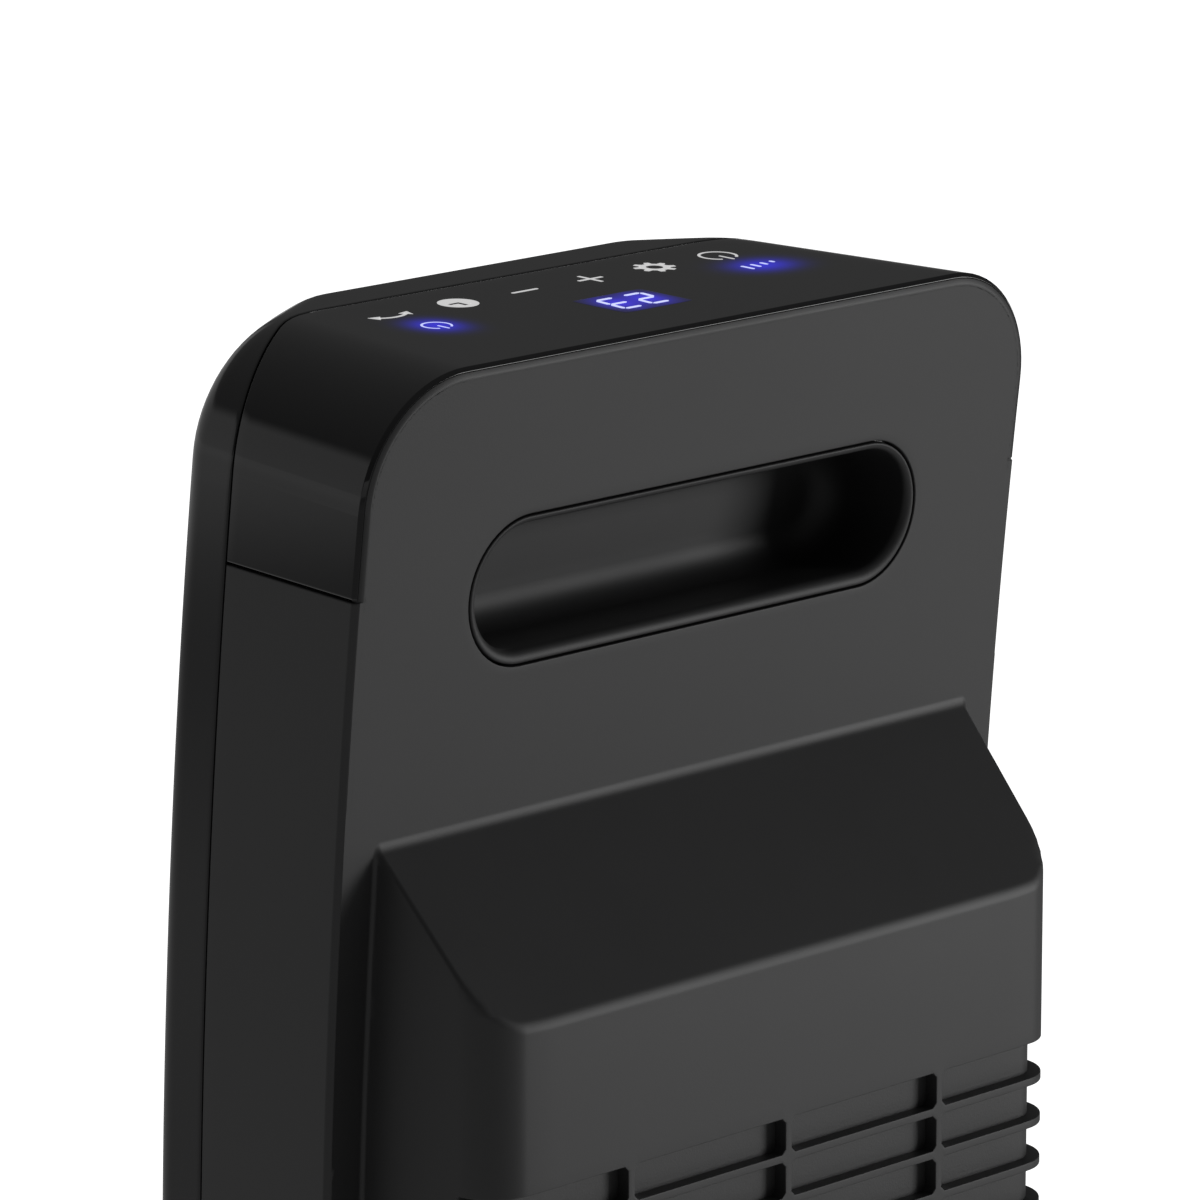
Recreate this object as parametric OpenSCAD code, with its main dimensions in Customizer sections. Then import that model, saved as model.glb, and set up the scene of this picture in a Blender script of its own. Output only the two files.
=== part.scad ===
// Tower fan heater: a bowed upright body that swings on a round base.
// Millimetres. The front faces -Y, the carrying handle and the air intake face +Y, +Z is up,
// and the origin lies at the centre of the base, on the surface that it stands on.

/* [Body] */
// Width across the rear panel
body_w = 190; // [180:1:200]
// Height of the top panel's rear edge above the floor
top_z = 528.6; // [520:0.2:540]
// Height of the body's lower edge above the floor
body_z = 62; // [58:1:66]
// Depth from the rear panel to the front
body_depth = 72; // [70:0.5:76]
// Radius of the bow that the whole body follows
bow_r = 1687; // [1500:1:2200]
// Y of the rear panel at the middle of the bow
rear_y = 30; // [26:0.5:32]
// Wall thickness of the shells
wall = 2.4; // [2:0.1:3]
// Angle by which each side wall closes towards the front
draft = 9.2; // [6:0.1:11]
// Rise of the top panel towards the front
top_tilt = 1.5; // [0:0.1:3]
// Radius of the four corners seen from behind
corner_r = 23; // [16:0.5:28]
// Radius of the long front edges seen from above
front_r = 29; // [20:0.5:32]

/* [Control cap] */
// Height of the cap's lower edge
cap_z = 486; // [480:1:492]
// Depth of the joint between bezel and housing on the sides
seam_side = 43.3; // [40:0.1:48]
// Depth of the same joint on the top
seam_top = 57.9; // [54:0.1:60]
// Width of the dark joints between shells
joint_gap = 0.5; // [0.3:0.1:0.8]
// Width of the cap's lip round the rear panel
lip = 1.3; // [1:0.1:1.6]
// Length and depth of the display window
window_size = [19.5, 15]; // [10:0.5:30]

/* [Handle] */
// Height of the middle of the finger opening
handle_z = 481.1; // [476:0.1:484]
// Length of the finger opening
handle_l = 128.3; // [110:0.1:130]
// Height of the finger opening
handle_h = 30.8; // [28:0.1:32]
// Depth of the finger cup
handle_depth = 23; // [20:0.5:26]

/* [Intake hump] */
// Width of the hump where it leaves the rear panel
hump_w = 171; // [160:0.5:175]
// Width of the hump's rear face
hump_face_w = 165.5; // [150:0.5:168]
// Y of the hump's rear face
hump_y = 65.5; // [60:0.1:67]
// Height at which the slanted top meets the rear face
hump_top_z = 403; // [396:0.2:408]
// Height of the first row of intake slots
slot_top_z = 369.4; // [360:0.2:375]
// Distance from one row of slots to the next
slot_pitch = 9.1; // [8:0.1:10]
// Open height of a slot
slot_h = 7.4; // [6:0.1:7.6]
// Rows of intake slots
slot_rows = 27; // [20:1:28]

/* [Fan] */
// Outer radius of the cross-flow wheel
wheel_r = 28; // [24:0.5:29]
// Y of the wheel's axis
wheel_y = 27; // [26:0.5:28]
// Blades round the wheel
wheel_blades = 26; // [20:1:32]
// Radius of the wheel's steel shaft
shaft_r = 3; // [2.5:0.5:3]

/* [Base] */
// Radius of the base
base_r = 110; // [100:1:125]
// Height of the base
base_h = 44; // [40:1:46]
// Radius of the swivel post
post_r = 20; // [18:0.5:22]
// Half of the swing, to either side
swing = 35; // [20:1:40]
// Teeth in a full turn of the sector gear
gear_teeth = 60; // [50:2:64]
// Teeth of the pinion
pinion_teeth = 12; // [10:2:14]

/* [Hidden] */
$fn = 64;
eps = 0.01;

half_w = body_w / 2;
// The bow's axis runs along X, far behind the body, level with the body's middle
bow_z = (top_z + body_z) / 2 + 0.7;
bow_y = rear_y + bow_r;
// Y of the rear panel at a height
function panel_y(z) = bow_y - sqrt(bow_r * bow_r - (z - bow_z) * (z - bow_z));
top_rear_y = panel_y(top_z);
// Height of the top panel at a Y
function top_at(y) = top_z + (top_rear_y - y) * tan(top_tilt);
// Centre of the long front edge's arc, as depth and X
front_c = [body_depth - front_r, half_w - (body_depth - front_r) * tan(draft) - front_r / cos(draft)];

outlet_w = 108;
outlet_z = [104, 448];
blind_z = 388;
louvre_pitch = 8;
slot_bottom_z = slot_top_z - slot_rows * slot_pitch;
// Rise of the hump's slanted top for each millimetre forwards
hump_slope = 1.078;
hump_low_z = slot_bottom_z - 12;
casing_z = [114, 378];
axis_z = [100, 408];
duct_y = -12;
// Y of the power board's rear face
board_y = panel_y(420) - 46;
board_t = 1.6;
// Lower end and bore of the swivel neck
neck_z = base_h + 1.3;
neck_bore = 12;
heater_h = 256;
heater_depth = 11;
pinion_r = pinion_teeth / 2;
gear_r = gear_teeth / 2;
pinion_y = -(gear_r + pinion_r);
gear_z = [18, 24];
rocker_pos = [-50, 76.5];
rocker_tip = 12;
rocker_size = [20, 14];
tip_pos = [62, -34];
foot_ring = 92;
foot_h = 3;
// Upper face of the base plate, and the radius at which its screws stand
plate_top = 6;
base_screw_ring = 100;
// Screws through the rear panel, low down on either side
screw_x = 70;
screw_z = 84;
gland_z = 13;
// Bore, body and rim radius of the cord gland, and its length
gland_r = 3.6;
gland_body_r = 6;
gland_rim_r = 8;
gland_l = 15.4;
// Outer radius of the swivel bearing's sleeve, and the clearance round the post
bearing_r = post_r + 4;
bearing_play = 0.08;
key_pitch = 18.7;
led_x = 46.5;
led_y = 13.7;
key_y = 1;
// Depth of the touch board's upper face below the top panel
touch_board_drop = 9;
window_y = 21.9;

// Points along an arc
function arc(c, r, a0, a1, n) =
    [for (i = [0:n]) let (a = a0 + (a1 - a0) * i / n) [c[0] + r * cos(a), c[1] + r * sin(a)]];
// The same outline on the other side of the middle, in reverse order
function other_side(pts) = [for (i = [len(pts) - 1:-1:0]) [pts[i][0], -pts[i][1]]];
// Outline of a rectangle with round corners
function round_rect(w, h, r, n = 8) = concat(
    arc([w / 2 - r, h / 2 - r], r, 0, 90, n), arc([r - w / 2, h / 2 - r], r, 90, 180, n),
    arc([r - w / 2, r - h / 2], r, 180, 270, n), arc([w / 2 - r, r - h / 2], r, 270, 360, n));

// Sweeps a plan section, drawn as depth from the rear panel against X, along the bow
module bow_sweep() {
    span = 9;
    translate([0, bow_y, bow_z]) rotate([0, 90, 0])
        rotate_extrude(start = -90 - span, angle = 2 * span, $fn = 360) translate([bow_r, 0]) children();
}

// A band of the bow between two depths, wider than the body
module depth_band(t0, t1) {
    bow_sweep() translate([t0, -200]) square([t1 - t0, 400]);
}

// Plan section of the body, shrunk by an inset; it begins at the depth given by from
module plan_section(inset, from) {
    edge = half_w - inset / cos(draft);
    side = concat([[from, edge - from * tan(draft)]], arc(front_c, front_r - inset, 90 - draft, 0, 12));
    polygon(concat(side, other_side(side)));
}

// Everything inside one side wall, the top and the bottom. Between the corners the side
// stands just outside the plan section, which bows away from a straight wall.
module side_prism(inset) {
    h = top_z - body_z;
    r = corner_r - inset;
    outside = 0.3;
    x = outside - inset;
    reach = 320;
    side = [for (k = [1:7]) let (z = top_z - h + corner_r + k * (h - 2 * corner_r) / 8)
        [x + (top_rear_y - panel_y(z)) * tan(draft) + outside, z - top_z]];
    translate([half_w, top_rear_y, top_z]) rotate([0, 0, -draft]) rotate([-top_tilt, 0, 0])
        rotate([90, 0, 0]) translate([0, 0, -70]) linear_extrude(240)
            polygon(concat([[-reach, inset - h]], arc([x - r, inset - h + r], r, -90, 0, 10),
                side, arc([x - r, -inset - r], r, 0, 90, 10), [[-reach, -inset]]));
}

// The whole body as one solid, shrunk by an inset. Its rear face lies at the same inset,
// or at the depth given by from.
module body_form(inset, from = undef) {
    intersection() {
        bow_sweep() plan_section(inset, is_undef(from) ? inset : from);
        side_prism(inset);
        mirror([1, 0, 0]) side_prism(inset);
    }
}

// Everything behind the joint that parts the bezel from the housing; d moves it forwards.
// Near the top the joint turns forwards along a quarter ellipse.
module behind_seam(d) {
    turn_z = top_z - corner_r + 1.9;
    turn_h = top_at(top_rear_y - seam_top) - 0.1 - turn_z;
    step = seam_top - seam_side;
    depth_band(-60, seam_side + d);
    rotate([90, 0, 90]) linear_extrude(240, center = true)
        polygon(concat([[top_rear_y + 20, turn_z - 8]],
            [[panel_y(turn_z - 8) - seam_side - d, turn_z - 8]],
            [for (a = [0:9:90]) let (z = turn_z + turn_h * sin(a))
                [panel_y(z) - seam_side - d - step * (1 - cos(a)), z]],
            [[panel_y(top_z) - seam_top - d, top_z + 8], [top_rear_y + 20, top_z + 8]]));
}

// Everything above a height
module above(z) {
    translate([-body_w, -200, z]) cube([2 * body_w, 400, 200]);
}

// Places things on the tilted top panel at an X and Y
module on_top(x, y) {
    translate([x, y, top_at(y)]) rotate([-top_tilt, 0, 0]) children();
}

// A plate that stands square to Y, drawn in X and Z, from its rear face forwards
module upright(y, thickness) {
    translate([0, y, 0]) rotate([90, 0, 0]) linear_extrude(thickness) children();
}

module tube(r_out, r_in, h) {
    difference() {
        cylinder(r = r_out, h = h);
        translate([0, 0, -1]) cylinder(r = r_in, h = h + 2);
    }
}

// Plan section of the hump, shrunk by an inset
module hump_section(inset) {
    r = 9;
    lean = atan2(hump_w - hump_face_w, 2 * (hump_y - rear_y));
    x = hump_face_w / 2 - inset;
    y = hump_y - inset;
    side = concat([[x - (y - 10) * -tan(lean), 10]], arc([x - r, y - r], r - inset / 2, -lean, 90, 8));
    polygon(concat(side, [for (i = [len(side) - 1:-1:0]) [-side[i][0], side[i][1]]]));
}

// The hump as one solid with its slanted top and bottom, shrunk by an inset
module hump_form(inset) {
    y = hump_y - inset;
    reach = 36.5;
    intersection() {
        translate([0, 0, body_z]) linear_extrude(420) hump_section(inset);
        rotate([90, 0, 90]) linear_extrude(240, center = true)
            polygon([[y, hump_top_z - inset / 2], [y, hump_low_z + inset / 2],
                [y - reach, hump_low_z + inset / 2 - reach],
                [y - reach, hump_top_z - inset / 2 + reach * hump_slope]]);
    }
}

// Outline of the finger opening
module stadium(l, h) {
    for (s = [-1, 1]) translate([s * (l - h) / 2, 0]) circle(d = h, $fn = 64);
    square([l - h, h], center = true);
}

// ---- Shells ----

module front_bezel() {
    opening_h = outlet_z[1] - outlet_z[0];
    color([0.05, 0.05, 0.055]) {
        difference() {
            body_form(0);
            body_form(wall);
            behind_seam(joint_gap);
            translate([0, 0, (outlet_z[0] + outlet_z[1]) / 2]) upright(20, 90)
                polygon(round_rect(outlet_w, opening_h, 10));
        }
        screw_posts();
        board_posts();
    }
}

// Posts that run back from the bezel to the rear panel and take its screws
module screw_posts() {
    intersection() {
        for (s = [-1, 1]) translate([s * screw_x, 0, screw_z]) difference() {
            upright(panel_y(screw_z) - wall - 0.5, 90) circle(r = 4);
            upright(60, 32) circle(r = 1.6);
        }
        body_form(wall / 2);
    }
}

// Repeats its children at the power board's four fixings
module at_board_posts() {
    for (x = [-58, 58]) for (z = [418, 450]) translate([x, 0, z]) children();
}

// Posts that stand on the bezel's inner face and carry the power board
module board_posts() {
    intersection() {
        at_board_posts() difference() {
            upright(board_y - board_t, 40) circle(r = 3);
            upright(board_y, 12) circle(r = 1.25);
        }
        body_form(wall / 2);
    }
}

// Louvres and ribs in a swept frame that fills the bezel's opening
module outlet_grille() {
    middle = (outlet_z[0] + outlet_z[1]) / 2;
    inner_w = outlet_w - 1;
    inner_h = outlet_z[1] - outlet_z[0] - 1;
    color([0.07, 0.07, 0.075]) intersection() {
        translate([0, 0, middle]) upright(20, 90) polygon(round_rect(inner_w, inner_h, 9.5));
        union() {
            difference() {
                depth_band(64, 71);
                translate([0, 0, middle]) upright(20, 90) polygon(round_rect(inner_w - 6, inner_h - 6, 7));
            }
            for (x = [-26.5, 0, 26.5]) bow_sweep() translate([64.5, x - 0.8]) square([4, 1.6]);
            // Blind upper end, above the air outlet
            intersection() {
                depth_band(63, 64.6);
                translate([-inner_w / 2, -100, blind_z]) cube([inner_w, 160, 100]);
            }
            for (z = [outlet_z[0] + 7.5:louvre_pitch:outlet_z[1] - 6])
                translate([0, panel_y(z) - 67.5, z]) rotate([12, 0, 0]) cube([inner_w, 6, 1.4], center = true);
        }
    }
}

module rear_housing() {
    color([0.10, 0.10, 0.105]) difference() {
        union() {
            housing_shell();
            cap_ledge();
            difference() {
                hump_form(0);
                depth_band(wall, 120);
            }
        }
        hump_form(wall);
        translate([0, 0, handle_z]) upright(80, 60) stadium(handle_l + 2.4, handle_h + 2.4);
        intake_slots();
        rocker_cut();
        for (s = [-1, 1]) translate([s * screw_x, 0, screw_z]) {
            upright(60, 40) circle(r = 1.6);
            upright(60, 60 - panel_y(screw_z) + 1.6) circle(r = 3.4);
        }
        // Passage for the wiring
        translate([0, 0, body_z - 5]) cylinder(r = neck_bore, h = 15);
    }
    color([0.10, 0.10, 0.105]) intake_ribs();
}

// Side walls up to the cap, and the rear panel up to the top inside the cap's lip
module housing_shell() {
    difference() {
        intersection() {
            body_form(0);
            behind_seam(0);
        }
        body_form(wall);
        intersection() {
            above(cap_z);
            union() {
                depth_band(wall, 100);
                difference() {
                    depth_band(-20, wall + 1);
                    body_form(lip, -1);
                }
            }
        }
    }
}

// Rim inside the walls that reaches up into the cap and holds it
module cap_ledge() {
    overlap = 0.3;
    difference() {
        intersection() {
            body_form(wall, wall - overlap);
            depth_band(wall - overlap, seam_side);
            above(cap_z - 8);
        }
        body_form(wall + 1.4);
        above(cap_z + 10);
    }
}

// Rows of slots that run across the hump's face and round its corners
module intake_slots() {
    for (i = [0:slot_rows - 1])
        translate([-100, 55, slot_top_z - i * slot_pitch - slot_h]) cube([200, 20, slot_h]);
}

// Upright ribs that tie the slats together
module intake_ribs() {
    for (x = [-45.1, 0, 45.1])
        translate([x - 0.9, hump_y - wall, slot_bottom_z])
            cube([1.8, wall - 0.2, slot_top_z - slot_bottom_z + 1]);
}

module rocker_cut() {
    translate([rocker_pos[0], 0, rocker_pos[1]]) upright(90, 80)
        square([rocker_size[0] + 0.4, rocker_size[1] + 0.4], center = true);
}

module control_cap() {
    lip_depth = 0.4;
    color([0.03, 0.03, 0.034]) difference() {
        intersection() {
            body_form(0);
            behind_seam(0);
            above(cap_z + joint_gap);
        }
        body_form(wall);
        depth_band(-20, lip_depth);
        on_top(0, window_y) cube([window_size[0] + 0.1, window_size[1] + 0.1, 12], center = true);
        // Room for the rear panel inside the lip
        intersection() {
            body_form(lip - 0.05, -1);
            depth_band(-1, wall + 0.1);
        }
    }
}

module handle_cup() {
    y = panel_y(handle_z);
    color([0.08, 0.08, 0.085]) intersection() {
        translate([0, 0, handle_z]) difference() {
            upright(y + 4, handle_depth + 6) stadium(handle_l + 2, handle_h + 2);
            upright(y + 10, handle_depth + 10) stadium(handle_l - 1.6, handle_h - 1.6);
        }
        depth_band(-0.3, 60);
    }
}

// ---- Controls ----

module display_window() {
    color([0.02, 0.02, 0.05]) on_top(0, window_y)
        translate([0, 0, -0.9]) cube([window_size[0], window_size[1], 1.8], center = true);
}

module display_module() {
    h = touch_board_drop - wall;
    color([0.8, 0.8, 0.85]) on_top(0, window_y) translate([0, 0, -wall - h / 2])
        cube([window_size[0] + 4.5, window_size[1] + 2, h], center = true);
}

// Touch and lamp board with springs that reach up to the cap's inner face
module touch_board() {
    size = [130, 44, 1.6];
    spring_h = touch_board_drop - wall;
    color([0.05, 0.25, 0.12]) {
        on_top(0, 10) translate([0, 0, -touch_board_drop - size[2] / 2]) cube(size, center = true);
        for (i = [-2.5:2.5]) on_top(i * key_pitch, key_y)
            translate([0, 0, -touch_board_drop - eps]) cylinder(r = 5, h = spring_h);
        for (s = [-1, 1]) on_top(s * led_x, led_y)
            translate([0, 0, -touch_board_drop - eps]) cylinder(r = 2.5, h = spring_h);
    }
}

// Board with its relays, capacitor and transformer, behind the grille's blind end
module power_board() {
    color([0.05, 0.25, 0.12]) {
        difference() {
            translate([0, 0, 434]) upright(board_y, board_t) square([124, 44], center = true);
            at_board_posts() upright(board_y + 1, 5) circle(r = 1.3);
        }
        for (x = [-42, -18]) translate([x, board_y - eps, 426]) cube([18, 14, 15]);
        translate([12, board_y - eps, 444]) rotate([-90, 0, 0]) cylinder(d = 13, h = 18);
        translate([28, board_y - eps, 418]) cube([20, 10, 22]);
        // Plug of the loom
        translate([50, board_y - eps, 440]) cube([8, 9, 6.5]);
    }
}

// Loom from the power board's plug down the side of the casing to the swivel post
module wiring() {
    path = [[54, board_y + 5, 439], [66, 2, 410], [66, 2, 100], [9, 2, 70], [9, 2, 50]];
    wire_r = 2;
    color([0.75, 0.75, 0.72]) for (i = [0:len(path) - 2]) {
        d = path[i + 1] - path[i];
        l = norm(d);
        translate(path[i]) rotate([0, acos(d[2] / l), atan2(d[1], d[0])])
            cylinder(r = wire_r, h = l, $fn = 24);
        if (i > 0) translate(path[i]) sphere(r = wire_r + 0.2, $fn = 24);
    }
}

// Box of the rocker, with a rim that lies on the curve of the rear panel
module rocker_housing() {
    y = panel_y(rocker_pos[1]);
    rim = 1.6;
    color([0.06, 0.06, 0.06]) difference() {
        intersection() {
            translate([rocker_pos[0], 0, rocker_pos[1]]) union() {
                upright(y + 5, 10) square([rocker_size[0] + 4, rocker_size[1] + 4], center = true);
                upright(y, 16) square(rocker_size, center = true);
            }
            union() {
                depth_band(-rim, -0.05);
                translate([rocker_pos[0], 0, rocker_pos[1]]) upright(y + rim, 16 + rim)
                    square(rocker_size, center = true);
            }
            depth_band(-rim, 40);
        }
        translate([rocker_pos[0], 0, rocker_pos[1]]) {
            upright(y + 4, 14) square([rocker_size[0] - 4, rocker_size[1] - 3], center = true);
            translate([0, y - 5, 0]) rotate([0, 90, 0]) cylinder(r = 1.25, h = rocker_size[0] - 2, center = true);
        }
    }
}

// Curved key on two stub pins, tipped to one side at rest
module power_rocker() {
    y = panel_y(rocker_pos[1]);
    color([0.12, 0.12, 0.12]) translate([rocker_pos[0], y - 5, rocker_pos[1]]) rotate([0, 90, 0]) {
        rotate(rocker_tip) linear_extrude(rocker_size[0] - 5, center = true)
            polygon([[-3.8, 6.6], [-2, 6], [0, 5.8], [2, 6], [3.8, 6.6], [4, 0], [1.5, -3.5], [-1.5, -3.5], [-4, 0]]);
        cylinder(r = 1.2, h = rocker_size[0] - 2.6, center = true);
    }
}

// ---- Air path ----

// Screen behind the slots, standing clear of the hump's inner face
module intake_screen() {
    gap = wall + 0.6;
    color([0.16, 0.16, 0.165]) intersection() {
        difference() {
            translate([0, 0, slot_bottom_z - 3]) linear_extrude(slot_top_z - slot_bottom_z + 6)
                hump_section(gap);
            translate([0, 0, slot_bottom_z - 4]) linear_extrude(slot_top_z - slot_bottom_z + 8)
                hump_section(gap + 1.2);
        }
        translate([-100, 46, 0]) cube([200, 40, 600]);
    }
}

// Scroll wall, tongue wall and end plates round the wheel
module scroll_casing() {
    spiral = [for (a = [150:9:213]) let (r = wheel_r + 3 + (a - 150) * 0.26) [r * cos(a), wheel_y + r * sin(a)]];
    inner = concat(spiral, [[-48, duct_y]]);
    outer = [for (i = [len(inner) - 1:-1:0]) inner[i] + [-1.8, 0.4]];
    h = casing_z[1] - casing_z[0];
    color([0.85, 0.85, 0.83]) {
        translate([0, 0, casing_z[0] - 1]) linear_extrude(h + 2) polygon(concat(inner, outer));
        translate([0, 0, casing_z[0] - 1]) linear_extrude(h + 2)
            polygon([[32, 20], [33.8, 20], [38, 6], [49.8, duct_y], [48, duct_y], [32, 8]]);
        for (z = [casing_z[0] - 2, casing_z[1]]) translate([0, 0, z]) difference() {
            linear_extrude(2) polygon([[-52, duct_y], [52, duct_y], [52, 20], [40, 46], [-40, 46], [-52, 20]]);
            translate([0, wheel_y, -1]) cylinder(r = z > 200 ? 12 : 6.5, h = 4);
        }
    }
}

// Cross-flow wheel: rings and curved blades
module impeller() {
    lo = casing_z[0] + 4;
    hi = casing_z[1] - 4;
    h = hi - lo;
    color([0.2, 0.2, 0.21]) translate([0, wheel_y, lo]) {
        difference() {
            union() {
                for (z = [0, h - 2]) translate([0, 0, z]) cylinder(r = wheel_r, h = 2);
                for (k = [1, 2]) translate([0, 0, h * k / 3 - 0.75]) tube(wheel_r, wheel_r - 8, 1.5);
                for (z = [0, h - 12]) translate([0, 0, z]) cylinder(r = 7, h = 12);
            }
            translate([0, 0, -1]) cylinder(r = shaft_r, h = h + 2);
        }
        translate([0, 0, 1]) linear_extrude(h - 2) for (i = [0:wheel_blades - 1])
            rotate(i * 360 / wheel_blades) polygon(blade_outline());
    }
}

// One curved blade in plan, near the wheel's rim
function blade_outline() = let (c = [wheel_r - 4, -5], r = 5.6)
    concat(arc(c, r, 42, 128, 6), arc(c, r - 0.9, 128, 42, 6));

module impeller_shaft() {
    color([0.7, 0.7, 0.72]) translate([0, wheel_y, axis_z[0]])
        cylinder(r = shaft_r, h = axis_z[1] - axis_z[0]);
}

// Bush at the wheel's lower end, in a rubber seat below the casing
module bearing_bush() {
    color([0.72, 0.55, 0.25]) translate([0, wheel_y, casing_z[0] - 11]) tube(6, shaft_r + 0.05, 8);
}

module bearing_rubber() {
    color([0.05, 0.05, 0.05]) translate([0, wheel_y, casing_z[0] - 11]) {
        tube(9, 6, 8);
        translate([0, 0, 8]) tube(9, 5, 1);
        translate([0, 0, 9]) tube(6.5, 5, 2);
    }
}

// Shaded-pole motor above the wheel
module fan_motor() {
    color([0.6, 0.6, 0.62]) translate([0, wheel_y, casing_z[1] + 6]) difference() {
        union() {
            cylinder(r = 21, h = 20);
            translate([0, 0, -3]) cylinder(r = 9, h = 4);
            for (a = [30:120:270]) rotate(a) translate([18, -4, 0]) cube([10, 8, 2.5]);
        }
        translate([0, 0, -5]) cylinder(r = shaft_r + 0.05, h = 40);
    }
}

// Rubber mounts between the casing's top plate and the motor's ears
module motor_mounts() {
    color([0.05, 0.05, 0.05]) translate([0, wheel_y, casing_z[1] + 2])
        for (a = [30:120:270]) rotate(a) translate([25, 0, 0]) cylinder(r = 3.2, h = 4);
}

module heater_frame() {
    color([0.82, 0.8, 0.72]) upright(duct_y - 0.5, heater_depth)
        translate([0, (casing_z[0] + casing_z[1]) / 2]) difference() {
            square([100, heater_h], center = true);
            square([86, heater_h - 14], center = true);
        }
}

// Upright ceramic bars with cross fins between them
module heater_element() {
    low = (casing_z[0] + casing_z[1] - heater_h) / 2 + 7;
    h = heater_h - 14;
    y = duct_y - 0.5 - heater_depth;
    color([0.75, 0.75, 0.76]) for (x = [-42:12:42]) {
        translate([x - 1, y + 1, low]) cube([2, heater_depth - 2, h]);
        if (x < 42) for (z = [low + 3:6:low + h - 3])
            translate([x + 1 - eps, y + 2, z]) cube([10 + 2 * eps, heater_depth - 4, 0.8]);
    }
}

module thermal_cutout() {
    color([0.5, 0.5, 0.5]) translate([20, duct_y - 0.5, 370.5]) rotate([-90, 0, 0]) {
        cylinder(d = 9, h = 6);
        translate([-3, -7, 0]) cube([6, 14, 1.5]);
    }
}

// ---- Swivel and base ----

module swivel_neck() {
    color([0.06, 0.06, 0.065]) difference() {
        translate([0, 0, neck_z]) cylinder(r1 = 36, r2 = 22, h = 22, $fn = 96);
        body_form(0);
        translate([0, 0, neck_z - 1]) cylinder(r = neck_bore, h = 40);
    }
}

module swivel_post() {
    foot_z = 15.3;
    color([0.55, 0.55, 0.57]) translate([0, 0, foot_z]) tube(post_r, neck_bore, neck_z - foot_z);
}

// Points of one tooth of an involute gear of module 1, from root to tip and back
function gear_tooth(teeth, play) = let (
    pitch_r = teeth / 2, base = pitch_r * cos(20), root = pitch_r - 1.2, tip = pitch_r + 0.9,
    first = root > base ? sqrt(pow(root / base, 2) - 1) : 0, last = sqrt(pow(tip / base, 2) - 1),
    half = 90 / teeth - play * 180 / (PI * pitch_r) + tan(20) * 180 / PI - 20,
    flank = [for (i = [0:5]) let (t = first + (last - first) * i / 5, a = half - t * 180 / PI + atan(t))
        base * sqrt(1 + t * t) * [cos(a), sin(a)]],
    side = concat([root * flank[0] / norm(flank[0])], flank))
    concat([for (p = side) [p[0], -p[1]]], [for (i = [len(side) - 1:-1:0]) side[i]]);

// Outline of the whole gear
module gear_outline(teeth, play) {
    polygon([for (k = [0:teeth - 1]) let (a = k * 360 / teeth) for (p = gear_tooth(teeth, play))
        [p[0] * cos(a) - p[1] * sin(a), p[0] * sin(a) + p[1] * cos(a)]]);
}

module sector_gear() {
    reach = swing + 16;
    color([0.85, 0.85, 0.8]) translate([0, 0, gear_z[0]]) linear_extrude(gear_z[1] - gear_z[0]) difference() {
        intersection() {
            rotate(-90) gear_outline(gear_teeth, 0.08);
            union() {
                circle(r = post_r + 4);
                polygon(concat([[0, 0]], arc([0, 0], 60, -90 - reach, -90 + reach, 8)));
            }
        }
        circle(r = post_r);
    }
}

module retaining_ring() {
    color([0.6, 0.6, 0.62]) translate([0, 0, 26]) tube(24, post_r, 3);
}

module swivel_bearing() {
    color([0.85, 0.84, 0.78]) {
        translate([0, 0, 31]) tube(bearing_r, post_r + bearing_play, base_h - 31 + eps);
        translate([0, 0, base_h]) tube(post_r + 12, post_r + bearing_play, 1);
    }
}

module oscillation_motor() {
    color([0.6, 0.6, 0.62]) translate([0, pinion_y, 6]) {
        tube(17.5, 1.55, 9);
        for (s = [-1, 1]) translate([s * 19 - 3, -4, 0]) cube([6, 8, 1.2]);
    }
}

module oscillation_pinion() {
    color([0.9, 0.9, 0.86]) {
        translate([0, pinion_y, gear_z[0]]) linear_extrude(gear_z[1] - gear_z[0])
            rotate(90 + 180 / pinion_teeth) gear_outline(pinion_teeth, 0.08);
        translate([0, pinion_y, 7]) cylinder(r = 1.5, h = gear_z[0] - 7 + eps, $fn = 32);
    }
}

// Half of the base's outline, shrunk by an inset
function base_outline(inset) = concat([[0, 3 - inset], [base_r - inset, 3 - inset]],
    arc([base_r - 10, 22], 10 - inset, 0, 60, 6),
    [[60, base_h - 2 - inset], [46, base_h - inset], [0, base_h - inset]]);

module base_cover() {
    shell = 2.6;
    color([0.06, 0.06, 0.065]) difference() {
        union() {
            difference() {
                rotate_extrude($fn = 128) polygon(base_outline(0));
                rotate_extrude($fn = 128) polygon(base_outline(shell));
            }
            translate([0, 0, 30]) cylinder(r = post_r + 8, h = base_h - 30 - shell / 2);
            intersection() {
                union() {
                    at_base_screws() translate([0, 0, plate_top]) cylinder(r = 3.4, h = 30);
                    translate([0, base_r - 14, gland_z]) rotate([-90, 0, 0]) cylinder(r = 9.5, h = 14);
                }
                rotate_extrude($fn = 128) polygon(base_outline(shell / 2));
                translate([-base_r, -base_r, plate_top]) cube([2 * base_r, 2 * base_r, base_h]);
            }
        }
        translate([0, 0, 25]) cylinder(r = bearing_r, h = 30);
        translate([0, base_r - 20, gland_z]) rotate([-90, 0, 0]) cylinder(r = gland_body_r, h = 40);
        translate([0, base_r - 4, gland_z]) rotate([-90, 0, 0]) cylinder(r = gland_rim_r + 0.2, h = 40);
        at_base_screws() translate([0, 0, 2]) cylinder(r = 1.6, h = 16);
    }
}

// Repeats its children at the six screws that hold the base plate
module at_base_screws() {
    for (a = [0:60:300]) rotate(a) translate([base_screw_ring, 0, 0]) children();
}

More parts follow.
